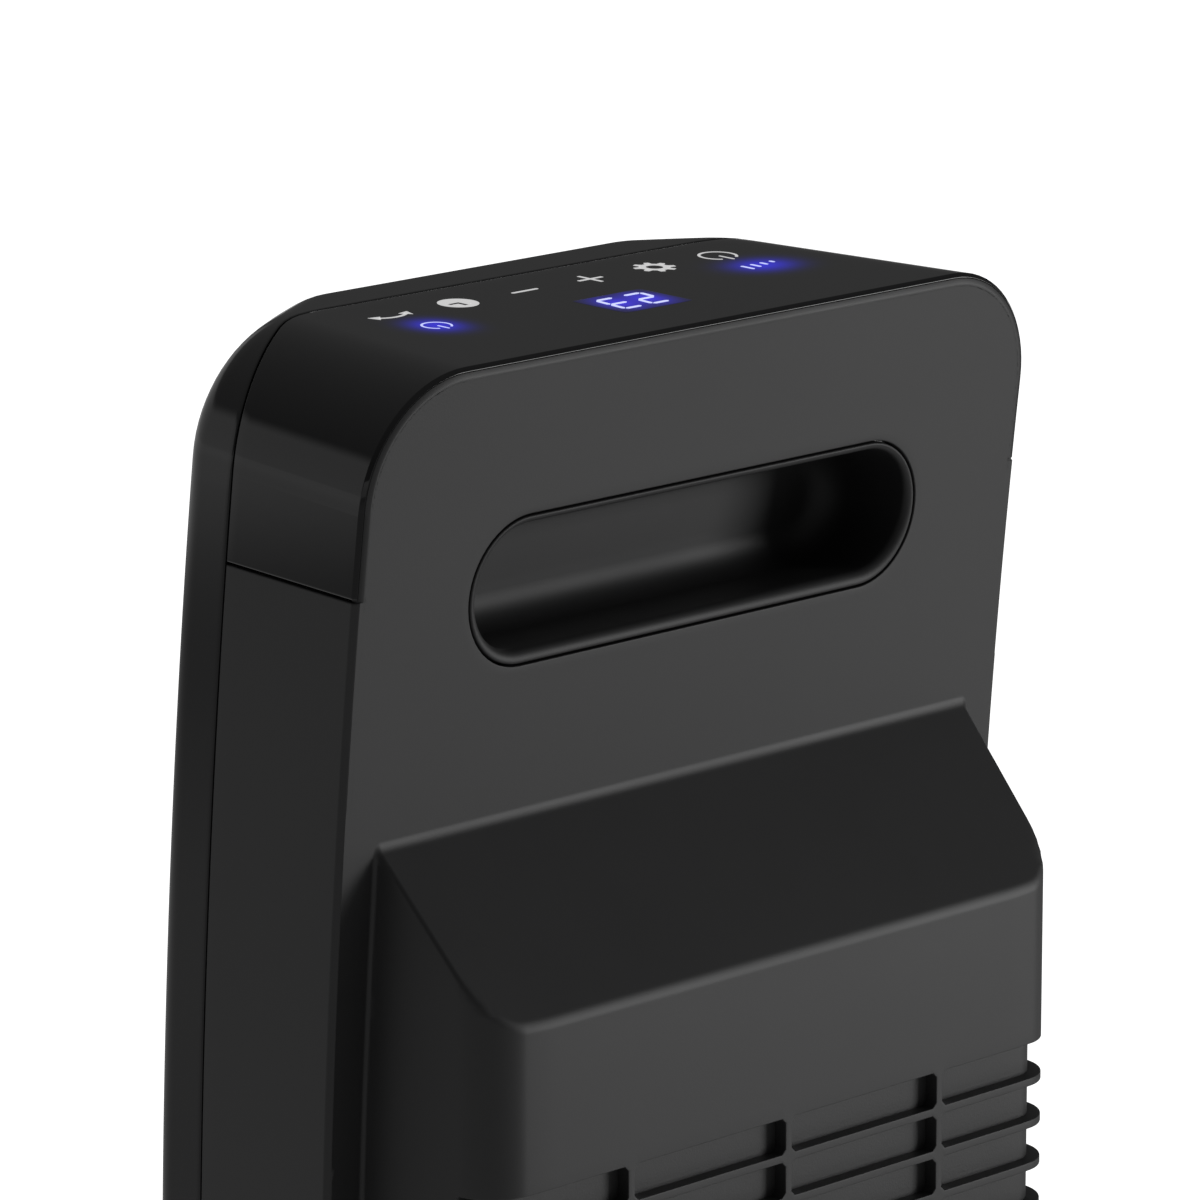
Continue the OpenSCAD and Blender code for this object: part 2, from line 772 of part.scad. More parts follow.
module base_plate() {
    color([0.05, 0.05, 0.055]) difference() {
        translate([0, 0, foot_h]) cylinder(r = base_r - 3, h = plate_top - foot_h, $fn = 128);
        translate([tip_pos[0], tip_pos[1], 0]) cylinder(r = 3.1, h = 10);
        at_base_screws() cylinder(r = 1.6, h = 10);
        // Notch that clears the rim of the cord gland
        translate([-gland_rim_r - 1, base_r - 4.5, 0]) cube([2 * gland_rim_r + 2, 10, 10]);
    }
}

module base_weight() {
    color([0.45, 0.45, 0.46]) translate([0, 0, 6]) linear_extrude(9) difference() {
        polygon(concat(arc([0, 0], 92, -14, 82, 16), arc([0, 0], 42, 82, -14, 16)));
        circle(r = 10);
    }
    color([0.45, 0.45, 0.46]) mirror([1, 0, 0]) translate([0, 0, 6]) linear_extrude(9)
        polygon(concat(arc([0, 0], 92, -14, 82, 16), arc([0, 0], 42, 82, -14, 16)));
}

module rubber_feet() {
    color([0.03, 0.03, 0.03]) for (a = [30:60:330]) rotate(a) translate([foot_ring, 0, 0])
        cylinder(r1 = 8.4, r2 = 9, h = foot_h, $fn = 48);
}

module cord_gland() {
    color([0.03, 0.03, 0.03]) translate([0, base_r - 16, gland_z]) rotate([-90, 0, 0]) difference() {
        union() {
            cylinder(r = gland_body_r, h = gland_l);
            translate([0, 0, 12]) cylinder(r1 = gland_rim_r, r2 = gland_rim_r - 0.8, h = gland_l - 12);
        }
        translate([0, 0, -1]) cylinder(r = gland_r, h = 20);
    }
}

module tip_switch() {
    color([0.1, 0.1, 0.1]) translate([tip_pos[0], tip_pos[1], 6]) difference() {
        translate([-7, -5, 0]) cube([14, 10, 18]);
        translate([0, 0, -1]) cylinder(r = 2.85, h = 15);
    }
}

module tip_plunger() {
    color([0.8, 0.1, 0.1]) translate([tip_pos[0], tip_pos[1], 0.3]) cylinder(r = 2.5, h = 14);
}

// ---- Fasteners ----

// Countersunk cross-head screw pointing up
module screw(r, h) {
    difference() {
        union() {
            cylinder(r = r, h = h, $fn = 24);
            cylinder(r = 2 * r, h = 1.4, $fn = 24);
        }
        for (a = [0, 90]) rotate(a) translate([-1.6 * r, -0.3, -1]) cube([3.2 * r, 0.6, 1.7]);
    }
}

module base_screws() {
    color([0.6, 0.6, 0.62]) at_base_screws() translate([0, 0, 1.6]) screw(1.55, 14);
}

// Screws through the rear panel into the bezel's posts
module housing_screws() {
    color([0.6, 0.6, 0.62]) for (s = [-1, 1])
        translate([s * screw_x, panel_y(screw_z) - 0.1, screw_z])
            rotate([90, 0, 0]) screw(1.5, 14);
}

module board_screws() {
    head_h = 1.4;
    color([0.6, 0.6, 0.62]) at_board_posts() translate([0, board_y + head_h, 0])
        rotate([90, 0, 0]) screw(1.2, 10);
}

front_bezel();
outlet_grille();
rear_housing();
control_cap();
display_window();
display_module();
touch_board();
handle_cup();
intake_screen();
scroll_casing();
impeller();
impeller_shaft();
bearing_bush();
bearing_rubber();
fan_motor();
motor_mounts();
heater_frame();
heater_element();
thermal_cutout();
power_board();
wiring();
rocker_housing();
power_rocker();
swivel_neck();
swivel_post();
sector_gear();
retaining_ring();
swivel_bearing();
oscillation_motor();
oscillation_pinion();
base_cover();
base_plate();
base_weight();
rubber_feet();
cord_gland();
tip_switch();
tip_plunger();
housing_screws();
board_screws();
base_screws();
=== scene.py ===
"""Visual model of a tower fan heater: moulded shells, finger cup, slatted intake, touch panel."""

import math

import bmesh
import bpy
import numpy as np
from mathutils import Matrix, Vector


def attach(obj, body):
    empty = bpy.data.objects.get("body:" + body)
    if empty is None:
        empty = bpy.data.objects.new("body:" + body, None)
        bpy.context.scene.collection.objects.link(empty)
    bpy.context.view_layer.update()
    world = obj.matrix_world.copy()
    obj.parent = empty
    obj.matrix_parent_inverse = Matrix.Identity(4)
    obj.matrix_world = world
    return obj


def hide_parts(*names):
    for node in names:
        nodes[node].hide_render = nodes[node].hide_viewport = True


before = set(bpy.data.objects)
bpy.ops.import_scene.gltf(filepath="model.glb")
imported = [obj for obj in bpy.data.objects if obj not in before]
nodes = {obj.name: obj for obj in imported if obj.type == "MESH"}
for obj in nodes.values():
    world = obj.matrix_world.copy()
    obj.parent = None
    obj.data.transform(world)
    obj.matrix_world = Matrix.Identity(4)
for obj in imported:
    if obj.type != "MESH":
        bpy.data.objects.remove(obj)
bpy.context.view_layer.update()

# ---------------------------------------------------------------- the body's measures, in mm

MM = 0.001
BODY_W = 190.0
TOP_Z = 528.6
BODY_Z = 62.0
DEPTH = 72.0
BOW_R = 1687.0
REAR_Y = 30.0
CORNER_R = 25.2
FRONT_R = 9.0
FRONT_T = 52.6
FRONT_TURN = math.radians(58)
FRONT_CROWN = 0.02
DRAFT = math.tan(math.radians(9.2))
TILT = math.tan(math.radians(1.5))
PARTING_Z = 486.0
GAP = 0.5
WALL = 2.4
SEAM_SIDE = 43.3
SEAM_TOP = 57.9

BOW_Z = (TOP_Z + BODY_Z) / 2 + 0.7
BOW_Y = REAR_Y + BOW_R
HALF_W = BODY_W / 2
FRONT_X = HALF_W - FRONT_T * DRAFT - FRONT_R / math.cos(math.atan(DRAFT))
ARC_START = FRONT_T + FRONT_R * math.sin(math.atan(DRAFT))
ARC_END = FRONT_T + FRONT_R * math.sin(FRONT_TURN)
TOP_EDGE_R = 4.0


def panel_y(z, depth=0.0):
    """Y at a height, at a depth in front of the rear panel."""
    return BOW_Y - np.sqrt((BOW_R + depth) ** 2 - (z - BOW_Z) ** 2)


TOP_REAR_Y = float(panel_y(TOP_Z))


def half_width(t):
    """Half of the body's width at a depth: a flat side, a tight turn, then a front that bows out."""
    if t <= ARC_START:
        return HALF_W - t * DRAFT
    if t <= ARC_END:
        return FRONT_X + math.sqrt(FRONT_R ** 2 - (t - FRONT_T) ** 2)
    past = t - ARC_END
    steep = math.tan(FRONT_TURN)
    return FRONT_X + FRONT_R * math.cos(FRONT_TURN) - past * steep - past ** 2 * FRONT_CROWN


def front_edge_drop(t):
    """How far the top and bottom planes fall in at the front, where their edge is round."""
    over = t - (DEPTH - TOP_EDGE_R)
    if over <= 0:
        return 0.0
    return TOP_EDGE_R - math.sqrt(max(TOP_EDGE_R ** 2 - over ** 2, 0.0))


def top_at(y):
    """Height of the tilted top plane at a Y."""
    return TOP_Z + (TOP_REAR_Y - y) * TILT


def top_z(t):
    """Height of the top at a depth; a few rounds settle it, because depth follows the bow."""
    z = TOP_Z
    for _ in range(3):
        z = top_at(float(panel_y(z, t)))
    return z - front_edge_drop(t)


def bottom_z(t):
    """Height of the underside at a depth."""
    z = BODY_Z
    for _ in range(3):
        z = BODY_Z - 0.2 + (TOP_REAR_Y - float(panel_y(z, t))) * TILT
    return z + front_edge_drop(t)


# ---------------------------------------------------------------- mesh helpers


INSIDE = Vector((0.0, 0.0, 300.0)) * MM


def new_object(name, verts, faces, smooth=True):
    """A mesh object from points in mm and faces, its faces turned away from the body's middle."""
    mesh = bpy.data.meshes.new(name)
    mesh.from_pydata([tuple(c * MM for c in v) for v in verts], [], faces)
    mesh.validate()
    bm = bmesh.new()
    bm.from_mesh(mesh)
    bmesh.ops.remove_doubles(bm, verts=bm.verts, dist=1e-6)
    bmesh.ops.recalc_face_normals(bm, faces=bm.faces)
    outward = sum(f.normal.dot(f.calc_center_median() - INSIDE) * f.calc_area() for f in bm.faces)
    if outward < 0:
        bmesh.ops.reverse_faces(bm, faces=bm.faces)
    for f in bm.faces:
        f.smooth = smooth
    bm.to_mesh(mesh)
    bm.free()
    obj = bpy.data.objects.new(name, mesh)
    bpy.context.scene.collection.objects.link(obj)
    return obj


def grid_faces(row_count, col_count):
    """Quads between the points of a grid that is stored row by row."""
    faces = []
    for i in range(row_count - 1):
        for j in range(col_count - 1):
            a = i * col_count + j
            faces.append((a, a + 1, a + col_count + 1, a + col_count))
    return faces


def loft(name, rows, closed, smooth=True, cap_ends=False):
    """A surface through rows of points; closed joins each row's end to its start."""
    count = len(rows[0])
    verts = [p for row in rows for p in row]
    faces = []
    span = count if closed else count - 1
    for i in range(len(rows) - 1):
        for j in range(span):
            k = (j + 1) % count
            faces.append((i * count + j, i * count + k, (i + 1) * count + k, (i + 1) * count + j))
    if cap_ends:
        faces.append(tuple(range(count)))
        last = (len(rows) - 1) * count
        faces.append(tuple(range(last, last + count)))
    return new_object(name, verts, faces, smooth)


def even_shading(obj):
    """Lets the wide faces rule the shading, so that small roundings don't darken their neighbours."""
    weighted = obj.modifiers.new("shading", "WEIGHTED_NORMAL")
    weighted.weight = 50
    weighted.keep_sharp = True


def place(obj, material, body="upper"):
    """Gives a piece its material and its CAD body."""
    obj.data.materials.clear()
    obj.data.materials.append(material)
    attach(obj, body)
    return obj


def arc_points(cx, cy, r, a0, a1, n):
    """Points of an arc about a centre, between two angles in degrees."""
    pts = []
    for i in range(n + 1):
        a = math.radians(a0 + (a1 - a0) * i / n)
        pts.append((cx + r * math.cos(a), cy + r * math.sin(a)))
    return pts


# ---------------------------------------------------------------- stations round the body
# A station names a place on the body's outline, so that the same place is found at any depth.


def stations(edge_z, side_end, corner, span, side_n, corner_n, span_n):
    """Along the +X side from a height, round a corner, across, and the same way back on the -X side."""
    side = [("side", 1, edge_z, side_end, i / side_n) for i in range(side_n)]
    turn = [(corner, 1, 90 * i / corner_n) for i in range(corner_n)]
    across = [(span, 1 - 2 * i / span_n) for i in range(span_n + 1)]
    back = [(kind, -1, *rest) for kind, _, *rest in reversed(side + turn)]
    return side + turn + across + back


def stations_above(low_z, side_n=26, corner_n=18, top_n=30):
    """From the +X side at a height, over the top, down to the same height on the -X side."""
    return stations(low_z, TOP_Z - CORNER_R, "corner", "top", side_n, corner_n, top_n)


def stations_below(high_z, side_n=110, corner_n=18, bottom_n=24):
    """From the +X side at a height, under the body, up to the same height on the -X side."""
    return stations(high_z, BODY_Z + CORNER_R, "low_corner", "bottom", side_n, corner_n, bottom_n)


def outline_xz(station, t, inset):
    """X and Z of a station at a depth, with the outline shrunk by an inset."""
    kind = station[0]
    w = half_width(t)
    if kind == "side":
        _, sign, z0, z1, f = station
        if z0 < z1:
            z1 = top_z(t) - CORNER_R
        else:
            z1 = bottom_z(t) + CORNER_R
        return sign * (w - inset), z0 + (z1 - z0) * f
    if kind in ("corner", "low_corner"):
        _, sign, angle = station
        a = math.radians(angle)
        r = max(CORNER_R - inset, 0.5)
        x = sign * (w - CORNER_R + r * math.cos(a))
        if kind == "corner":
            return x, top_z(t) - CORNER_R + r * math.sin(a)
        return x, bottom_z(t) + CORNER_R - r * math.sin(a)
    f = station[1]
    x = f * (w - CORNER_R)
    if kind == "top":
        return x, top_z(t) - inset
    return x, bottom_z(t) + inset


def body_point(station, t, inset=0.0):
    """The place of a station at a depth."""
    x, z = outline_xz(station, t, inset)
    return (x, float(panel_y(z, t)), z)


def seam_depth(station):
    """Depth of the joint between bezel and housing: it turns forwards round the top corners."""
    step = SEAM_TOP - SEAM_SIDE
    kind = station[0]
    run_out = 6.0
    easy = 14.0
    total = CORNER_R * math.pi / 2 + run_out
    if kind == "top":
        s = CORNER_R * math.pi / 2 + (1 - abs(station[1])) * (half_width(SEAM_TOP) - CORNER_R)
    elif kind == "corner":
        s = CORNER_R * math.radians(station[2])
    else:
        return SEAM_SIDE
    if s >= total:
        return SEAM_TOP
    if s < total - easy:
        return SEAM_SIDE + step * (1 - math.cos(s / CORNER_R))
    at_easy = 1 - math.cos((total - easy) / CORNER_R)
    return SEAM_SIDE + step * (1 - (1 - at_easy) * ((total - s) / easy) ** 2)


# Small roundings of an edge, as (distance along the surface from the edge, inset)
EDGE_END = 0.38
EDGE = [(0.0, 2.4), (0.0, 1.0), (0.0, EDGE_END), (0.11, 0.11), (EDGE_END, 0.0)]


# ---------------------------------------------------------------- shells


def parting_ends(stations, z_edge, up):
    """Adds the small rounding that turns a shell inwards at the parting line."""
    first, last = stations[0], stations[-1]
    lead = []
    tail = []
    for along, inset in EDGE:
        z = z_edge + along if up else z_edge - along
        lead.append((("side", 1, z, first[3], 0.0), inset))
        tail.append((("side", -1, z, last[3], 0.0), inset))
    return lead + [(s, 0.0) for s in stations[1:-1]] + tail[::-1]


def strip(path, t, inset):
    """A row of points along a path of (station, own inset) at a depth rule and an inset."""
    row = []
    for station, own in path:
        depth = t(station) if callable(t) else t
        row.append(body_point(station, depth, max(own, inset)))
    return row


# The cap's lip as (depth, inset): a tight outer edge, then a band that leans outwards
LIP_BAND = [
    (1.3, 0.0), (1.2, 0.02), (1.11, 0.09), (0.55, 0.74),
    (0.49, 0.84), (0.48, 0.93), (0.53, 1.0), (2.2, 1.02),
]
# The side walls' chamfer that meets the rear panel, as (depth, inset)
WALL_CHAMFER = [(1.5, 0.0), (1.2, 0.03), (0.95, 0.16), (0.2, 1.0), (0.04, 1.22), (0.0, 1.5), (0.02, 2.6)]
# The upper rear panel's chamfer inside the cap's lip, as (depth, inset)
PANEL_CHAMFER = [(0.0, 2.75), (0.0, 2.25), (0.03, 2.1), (0.16, 1.75), (0.44, 1.12), (0.54, 1.06), (2.2, 1.04)]


def seam_edge(path, side):
    """Rows that round an edge at the seam, on its rear side (-1) or its front side (1)."""
    rows = []
    for along, inset in EDGE:
        rows.append(strip(path, lambda s, a=along: seam_depth(s) + side * (GAP / 2 + a), inset))
    return rows


def wall_rows(path, side, end, n):
    """Rows from the seam's rounded edge to a depth."""
    rows = []
    offset = side * (GAP / 2 + EDGE_END)
    for i in range(1, n + 1):
        f = i / n
        rows.append(strip(path, lambda s, f=f: (seam_depth(s) + offset) * (1 - f) + end * f, 0.0))
    return rows


def build_cap():
    """Gloss cap: from the seam, over the sides and top, to the lip round the rear panel."""
    path = parting_ends(stations_above(PARTING_Z + GAP / 2), PARTING_Z + GAP / 2, True)
    rows = seam_edge(path, -1) + wall_rows(path, -1, LIP_BAND[0][0], 16)
    for t, inset in LIP_BAND[1:]:
        rows.append(strip(path, t, inset))
    return loft("cap_shell", rows, False)


def build_sides():
    """Matt side walls and underside, up to the chamfer that meets the rear panel."""
    path = parting_ends(stations_below(PARTING_Z - GAP / 2), PARTING_Z - GAP / 2, False)
    rows = seam_edge(path, -1) + wall_rows(path, -1, WALL_CHAMFER[0][0], 8)
    for t, inset in WALL_CHAMFER[1:]:
        rows.append(strip(path, t, inset))
    return loft("side_walls", rows, False)


OPENING_W = 108.0
OPENING_Z = (104.0, 448.0)
OPENING_R = 10.0
OPENING_EDGE_R = 0.9
OPENING_DEPTH = 6.0


def opening_point(station, grow, t):
    """The place on the rim of the front opening that answers to a station of the outline."""
    w = OPENING_W / 2 + grow
    lo, hi = OPENING_Z[0] - grow, OPENING_Z[1] + grow
    r = OPENING_R + grow
    kind = station[0]
    if kind == "side":
        _, sign, z0, z1, f = station
        up = (z0 + (z1 - z0) * f - BODY_Z - CORNER_R) / (TOP_Z - BODY_Z - 2 * CORNER_R)
        z = lo + r + (hi - lo - 2 * r) * up
        x = sign * w
    elif kind in ("corner", "low_corner"):
        _, sign, angle = station
        a = math.radians(angle)
        x = sign * (w - r + r * math.cos(a))
        z = hi - r + r * math.sin(a) if kind == "corner" else lo + r - r * math.sin(a)
    else:
        x = station[1] * (w - r)
        z = hi if kind == "top" else lo
    return (x, float(panel_y(z, t)), z)


def build_bezel():
    """Front shell: one closed ring of stations, from the seam round to the grille's opening."""
    low, high = BODY_Z + CORNER_R + 6, TOP_Z - CORNER_R
    side_n = 90
    ring = []
    for i in range(side_n):
        ring.append(("side", 1, low, high, i / side_n))
    ring += stations_above(high - 0.001, 0)
    for i in range(side_n, 0, -1):
        ring.append(("side", -1, low, high, i / side_n))
    bottom = stations_below(low, 0)
    ring += bottom[::-1]
    path = [(s, 0.0) for s in ring]
    rows = seam_edge(path, 1) + wall_rows(path, 1, DEPTH, 30)
    outer = rows[-1]
    front_n = 9
    for i in range(1, front_n):
        f = i / front_n
        row = []
        for p, s in zip(outer, ring):
            q = opening_point(s, OPENING_EDGE_R, DEPTH)
            x = p[0] + (q[0] - p[0]) * f
            z = p[2] + (q[2] - p[2]) * f
            row.append((x, float(panel_y(z, DEPTH)), z))
        rows.append(row)
    for i in range(5):
        a = math.radians(90 * i / 4)
        grow = OPENING_EDGE_R * (1 - math.sin(a))
        back = OPENING_EDGE_R * (1 - math.cos(a))
        rows.append([opening_point(s, grow, DEPTH - back) for s in ring])
    rows.append([opening_point(s, 0.0, DEPTH - OPENING_DEPTH) for s in ring])
    return loft("bezel_shell", rows, True)


# ---------------------------------------------------------------- rear panel, hump and slats

HUMP_Y = 65.5
HUMP_TOP_Z = 403.0
HUMP_SLOPE = 1.078
HUMP_W = 171.0
HUMP_FACE_W = 165.5
HUMP_LEAN = (HUMP_W - HUMP_FACE_W) / 2 / (HUMP_Y - REAR_Y)
SLOT_TOP_Z = 369.4
SLOT_PITCH = 9.1
SLOT_H = 7.4
SLOT_ROWS = 27
SLOT_BOTTOM_Z = SLOT_TOP_Z - SLOT_ROWS * SLOT_PITCH
SLOT_TOPS = [SLOT_TOP_Z - k * SLOT_PITCH for k in range(SLOT_ROWS)]
SLOT_LOWS = [top - SLOT_H for top in SLOT_TOPS]
HUMP_LOW_Z = SLOT_BOTTOM_Z - 12
HUMP_MID_Z = 240.0
SLOT_Y = 55.0
CELL_CORNER = 1.0
RIB_X = (-45.1, 0.0, 45.1)
RIB_W = 1.8
SLAT_DEPTH = 3.1
SPLIT_Z = 444.0
HUMP_EDGE_R = 1.0
HUMP_CORNER_R = 9.0
HUMP_CROWN_X = 66.0
HUMP_CROWN_R = 140.0
HUMP_FOOT_R = 1.0


def round_meet(a, b, r):
    """Rounded intersection of two distance fields."""
    u = np.maximum(a + r, 0)
    v = np.maximum(b + r, 0)
    return np.sqrt(u * u + v * v) - r + np.minimum(np.maximum(a + r, b + r), 0)


def hump_distance(x, y, z, inset=0.0):
    """Distance from the hump's surface, its edges round; negative inside."""
    lean = math.sqrt(1 + HUMP_LEAN ** 2)
    side = (np.abs(x) - HUMP_FACE_W / 2 - (HUMP_Y - y) * HUMP_LEAN) / lean + inset
    face = y - HUMP_Y + np.maximum(np.abs(x) - HUMP_CROWN_X, 0) ** 2 / (2 * HUMP_CROWN_R) + inset
    k = math.sqrt(1 + HUMP_SLOPE ** 2)
    upper = ((z - HUMP_TOP_Z) - (HUMP_Y - y) * HUMP_SLOPE) / k + inset
    lower = ((HUMP_LOW_Z - z) - (HUMP_Y - y)) / math.sqrt(2) + inset
    d = round_meet(face, side, HUMP_CORNER_R - inset)
    d = round_meet(d, upper, HUMP_EDGE_R)
    return round_meet(d, lower, HUMP_EDGE_R)


def rear_distance(x, y, z):
    """Distance from the rear panel with the hump on it, joined by a hollow fillet."""
    panel = y - panel_y(z)
    hump = hump_distance(x, y, z)
    u = np.maximum(HUMP_FOOT_R - panel, 0)
    v = np.maximum(HUMP_FOOT_R - hump, 0)
    return np.where((u > 0) & (v > 0), HUMP_FOOT_R - np.sqrt(u * u + v * v), np.minimum(panel, hump))


def march(x, z, field):
    """Y at which a ray from behind meets the surface of a distance field."""
    steps = 90
    damping = 0.9
    y = np.full(x.shape, HUMP_Y + 8.0)
    for _ in range(steps):
        y = y - damping * field(x, y, z)
    return y


def spread(*parts):
    """Grid lines from (from, to, step) parts."""
    lines = []
    for a, b, step in parts:
        n = max(1, int(round(abs(b - a) / step)))
        lines += [a + (b - a) * i / n for i in range(n)]
    lines.append(parts[-1][1])
    return lines


def panel_edge(z):
    """Half width of the rear panel at a height, inside the chamfer or the cap's lip."""
    inset = 1.2
    w = HALF_W - inset
    low = BODY_Z + CORNER_R
    if z < low:
        r = CORNER_R - inset
        dz = min(low - z, r)
        return HALF_W - CORNER_R + math.sqrt(max(r * r - dz * dz, 0.0))
    return w


def mirrored(right):
    """Grid lines on both sides of the middle, from those on the right."""
    return [-v for v in right[:0:-1]] + right


def is_near(value, others):
    """Whether a value is one of a few others, to the rounding of a sum."""
    return any(abs(value - other) < 0.01 for other in others)


def back_columns():
    """Upright grid lines of the rear panel: fine at the ribs' edges and at the hump's corner."""
    rib = RIB_W / 2
    outer = RIB_X[2]
    return mirrored(spread(
        (0, rib, 1.0),
        (rib, rib + CELL_CORNER, 1.0),
        (rib + CELL_CORNER, outer - rib - CELL_CORNER, 3.6),
        (outer - rib - CELL_CORNER, outer - rib, 1.0),
        (outer - rib, outer + rib, 1.0),
        (outer + rib, outer + rib + CELL_CORNER, 1.0),
        (outer + rib + CELL_CORNER, 64, 3.0),
        (64, 72, 1.0),
        (72, 81, 0.5),
        (81, 87, 0.12),
        (87, 93.8, 0.8),
    ))


def back_rows():
    """Level grid lines of the rear panel: fine at the slots and at the hump's ends."""
    slots = []
    for low, top in zip(SLOT_LOWS[::-1], SLOT_TOPS[::-1]):
        slots += [low, low + CELL_CORNER, top - SLOT_H / 2, top - CELL_CORNER, top]
    below = spread((63.2, 85, 0.9), (85, 122, 0.8)) + spread((122, SLOT_LOWS[-1], 1.0))[1:-1]
    to_hump_top = ((SLOT_TOP_Z, 401, 3.0), (401, 406, 0.25), (406, 432, 2.0))
    above = spread(*to_hump_top, (432, 442, 0.25), (442, SPLIT_Z, 1.0))
    return below + slots + above[1:]


def cell_corner(quad, at_bottom, rib_left):
    """The half of a grid square that fills a cell's corner, between a slat and a rib."""
    a, b, c, d = quad
    if at_bottom:
        return (a, b, d) if rib_left else (a, b, c)
    return (a, c, d) if rib_left else (b, c, d)


def build_back():
    """Rear panel below the handle, with the hump; the slots are left out of its faces."""
    rib = RIB_W / 2
    xs = back_columns()
    zs = back_rows()
    grid_x, grid_z = np.meshgrid(np.array(xs), np.array(zs))
    edge = np.array([panel_edge(z) for z in zs])[:, None]
    full = panel_edge(SPLIT_Z)
    grid_x = grid_x * edge / full
    grid_y = march(grid_x, grid_z, rear_distance)
    cols = len(xs)
    verts = np.stack([grid_x, grid_y, grid_z], axis=-1).reshape(-1, 3).tolist()
    faces = []
    for i in range(len(zs) - 1):
        mid_z = (zs[i] + zs[i + 1]) / 2
        in_slot = any(low < mid_z < top for low, top in zip(SLOT_LOWS, SLOT_TOPS))
        at_bottom = in_slot and is_near(zs[i], SLOT_LOWS)
        at_top = in_slot and is_near(zs[i + 1], SLOT_TOPS)
        for j in range(cols - 1):
            mid_x = (xs[j] + xs[j + 1]) / 2
            mid_y = (grid_y[i, j] + grid_y[i + 1, j + 1]) / 2
            on_rib = any(abs(mid_x - x) < rib for x in RIB_X)
            a = i * cols + j
            quad = (a, a + 1, a + cols + 1, a + cols)
            if not in_slot or mid_y <= SLOT_Y or on_rib:
                faces.append(quad)
                continue
            rib_left = is_near(xs[j] - rib, RIB_X)
            rib_right = is_near(xs[j + 1] + rib, RIB_X)
            if (at_bottom or at_top) and (rib_left or rib_right):
                faces.append(cell_corner(quad, at_bottom, rib_left))
    obj = new_object("rear_panel", verts, faces)
    thicken(obj, WALL, 0.18, SLOT_BOTTOM_Z - 1, SLOT_TOP_Z + 1)
    return obj


def deepen_slats(bm):
    """Moves the inner face of the slats and ribs inwards, so that they reach the screen."""
    step = 0.05
    for v in bm.verts:
        x, y, z = v.co / MM
        if not SLOT_BOTTOM_Z - 0.5 < z < SLOT_TOP_Z + 0.5 or y < SLOT_Y - WALL:
            continue
        here = hump_distance(x, y, z)
        if here > -WALL / 2:
            continue
        slope_x = (hump_distance(x + step, y, z) - here) / step
        slope_y = (hump_distance(x, y + step, z) - here) / step
        v.co.x -= (SLAT_DEPTH - WALL) * slope_x * MM
        v.co.y -= (SLAT_DEPTH - WALL) * slope_y * MM


def thicken(obj, wall, edge_r, low_z, high_z):
    """Gives a sheet its wall thickness and rounds the sharp edges between two heights."""
    bm = bmesh.new()
    bm.from_mesh(obj.data)
    bmesh.ops.solidify(bm, geom=bm.faces[:], thickness=wall * MM)
    deepen_slats(bm)
    bm.normal_update()
    sharp = []
    for edge in bm.edges:
        if len(edge.link_faces) != 2 or edge.calc_face_angle(0) < math.radians(50):
            continue
        if all(low_z * MM < v.co.z < high_z * MM for v in edge.verts):
            sharp.append(edge)
    bmesh.ops.bevel(bm, geom=sharp, offset=edge_r * MM, offset_type="OFFSET", segments=2,
                    profile=0.5, affect="EDGES", clamp_overlap=True)
    bm.normal_update()
    for edge in bm.edges:
        edge.smooth = edge.calc_face_angle(0) < math.radians(50)
    for face in bm.faces:
        face.smooth = True
    bm.to_mesh(obj.data)
    bm.free()


HANDLE_Z = 481.1
HANDLE_L = 128.3
HANDLE_H = 30.8
HANDLE_EDGE_R = 0.25


def stadium_point(angle, grow):
    """Where a ray from the handle's middle meets its outline, grown by an amount."""
    r = HANDLE_H / 2 + grow
    c = (HANDLE_L - HANDLE_H) / 2
    dx, dz = math.cos(angle), math.sin(angle)
    if abs(dz) > 1e-9:
        reach = r / abs(dz)
        if abs(dx) * reach <= c:
            return dx * reach, dz * reach
    sx = math.copysign(c, dx)
    b = dx * sx
    reach = b + math.sqrt(max(b * b - (c * c - r * r), 0.0))
    return dx * reach, dz * reach


def stadium_path(grow, n_end=26, n_side=34):
    """Points round the finger opening, even along its length."""
    r = HANDLE_H / 2 + grow
    c = (HANDLE_L - HANDLE_H) / 2
    pts = []
    for i in range(n_side):
        pts.append((c - 2 * c * i / n_side, r))
    for x, z in arc_points(-c, 0, r, 90, 270, n_end)[:-1]:
        pts.append((x, z))
    for i in range(n_side):
        pts.append((-c + 2 * c * i / n_side, -r))
    for x, z in arc_points(c, 0, r, -90, 90, n_end)[:-1]:
        pts.append((x, z))
    return pts


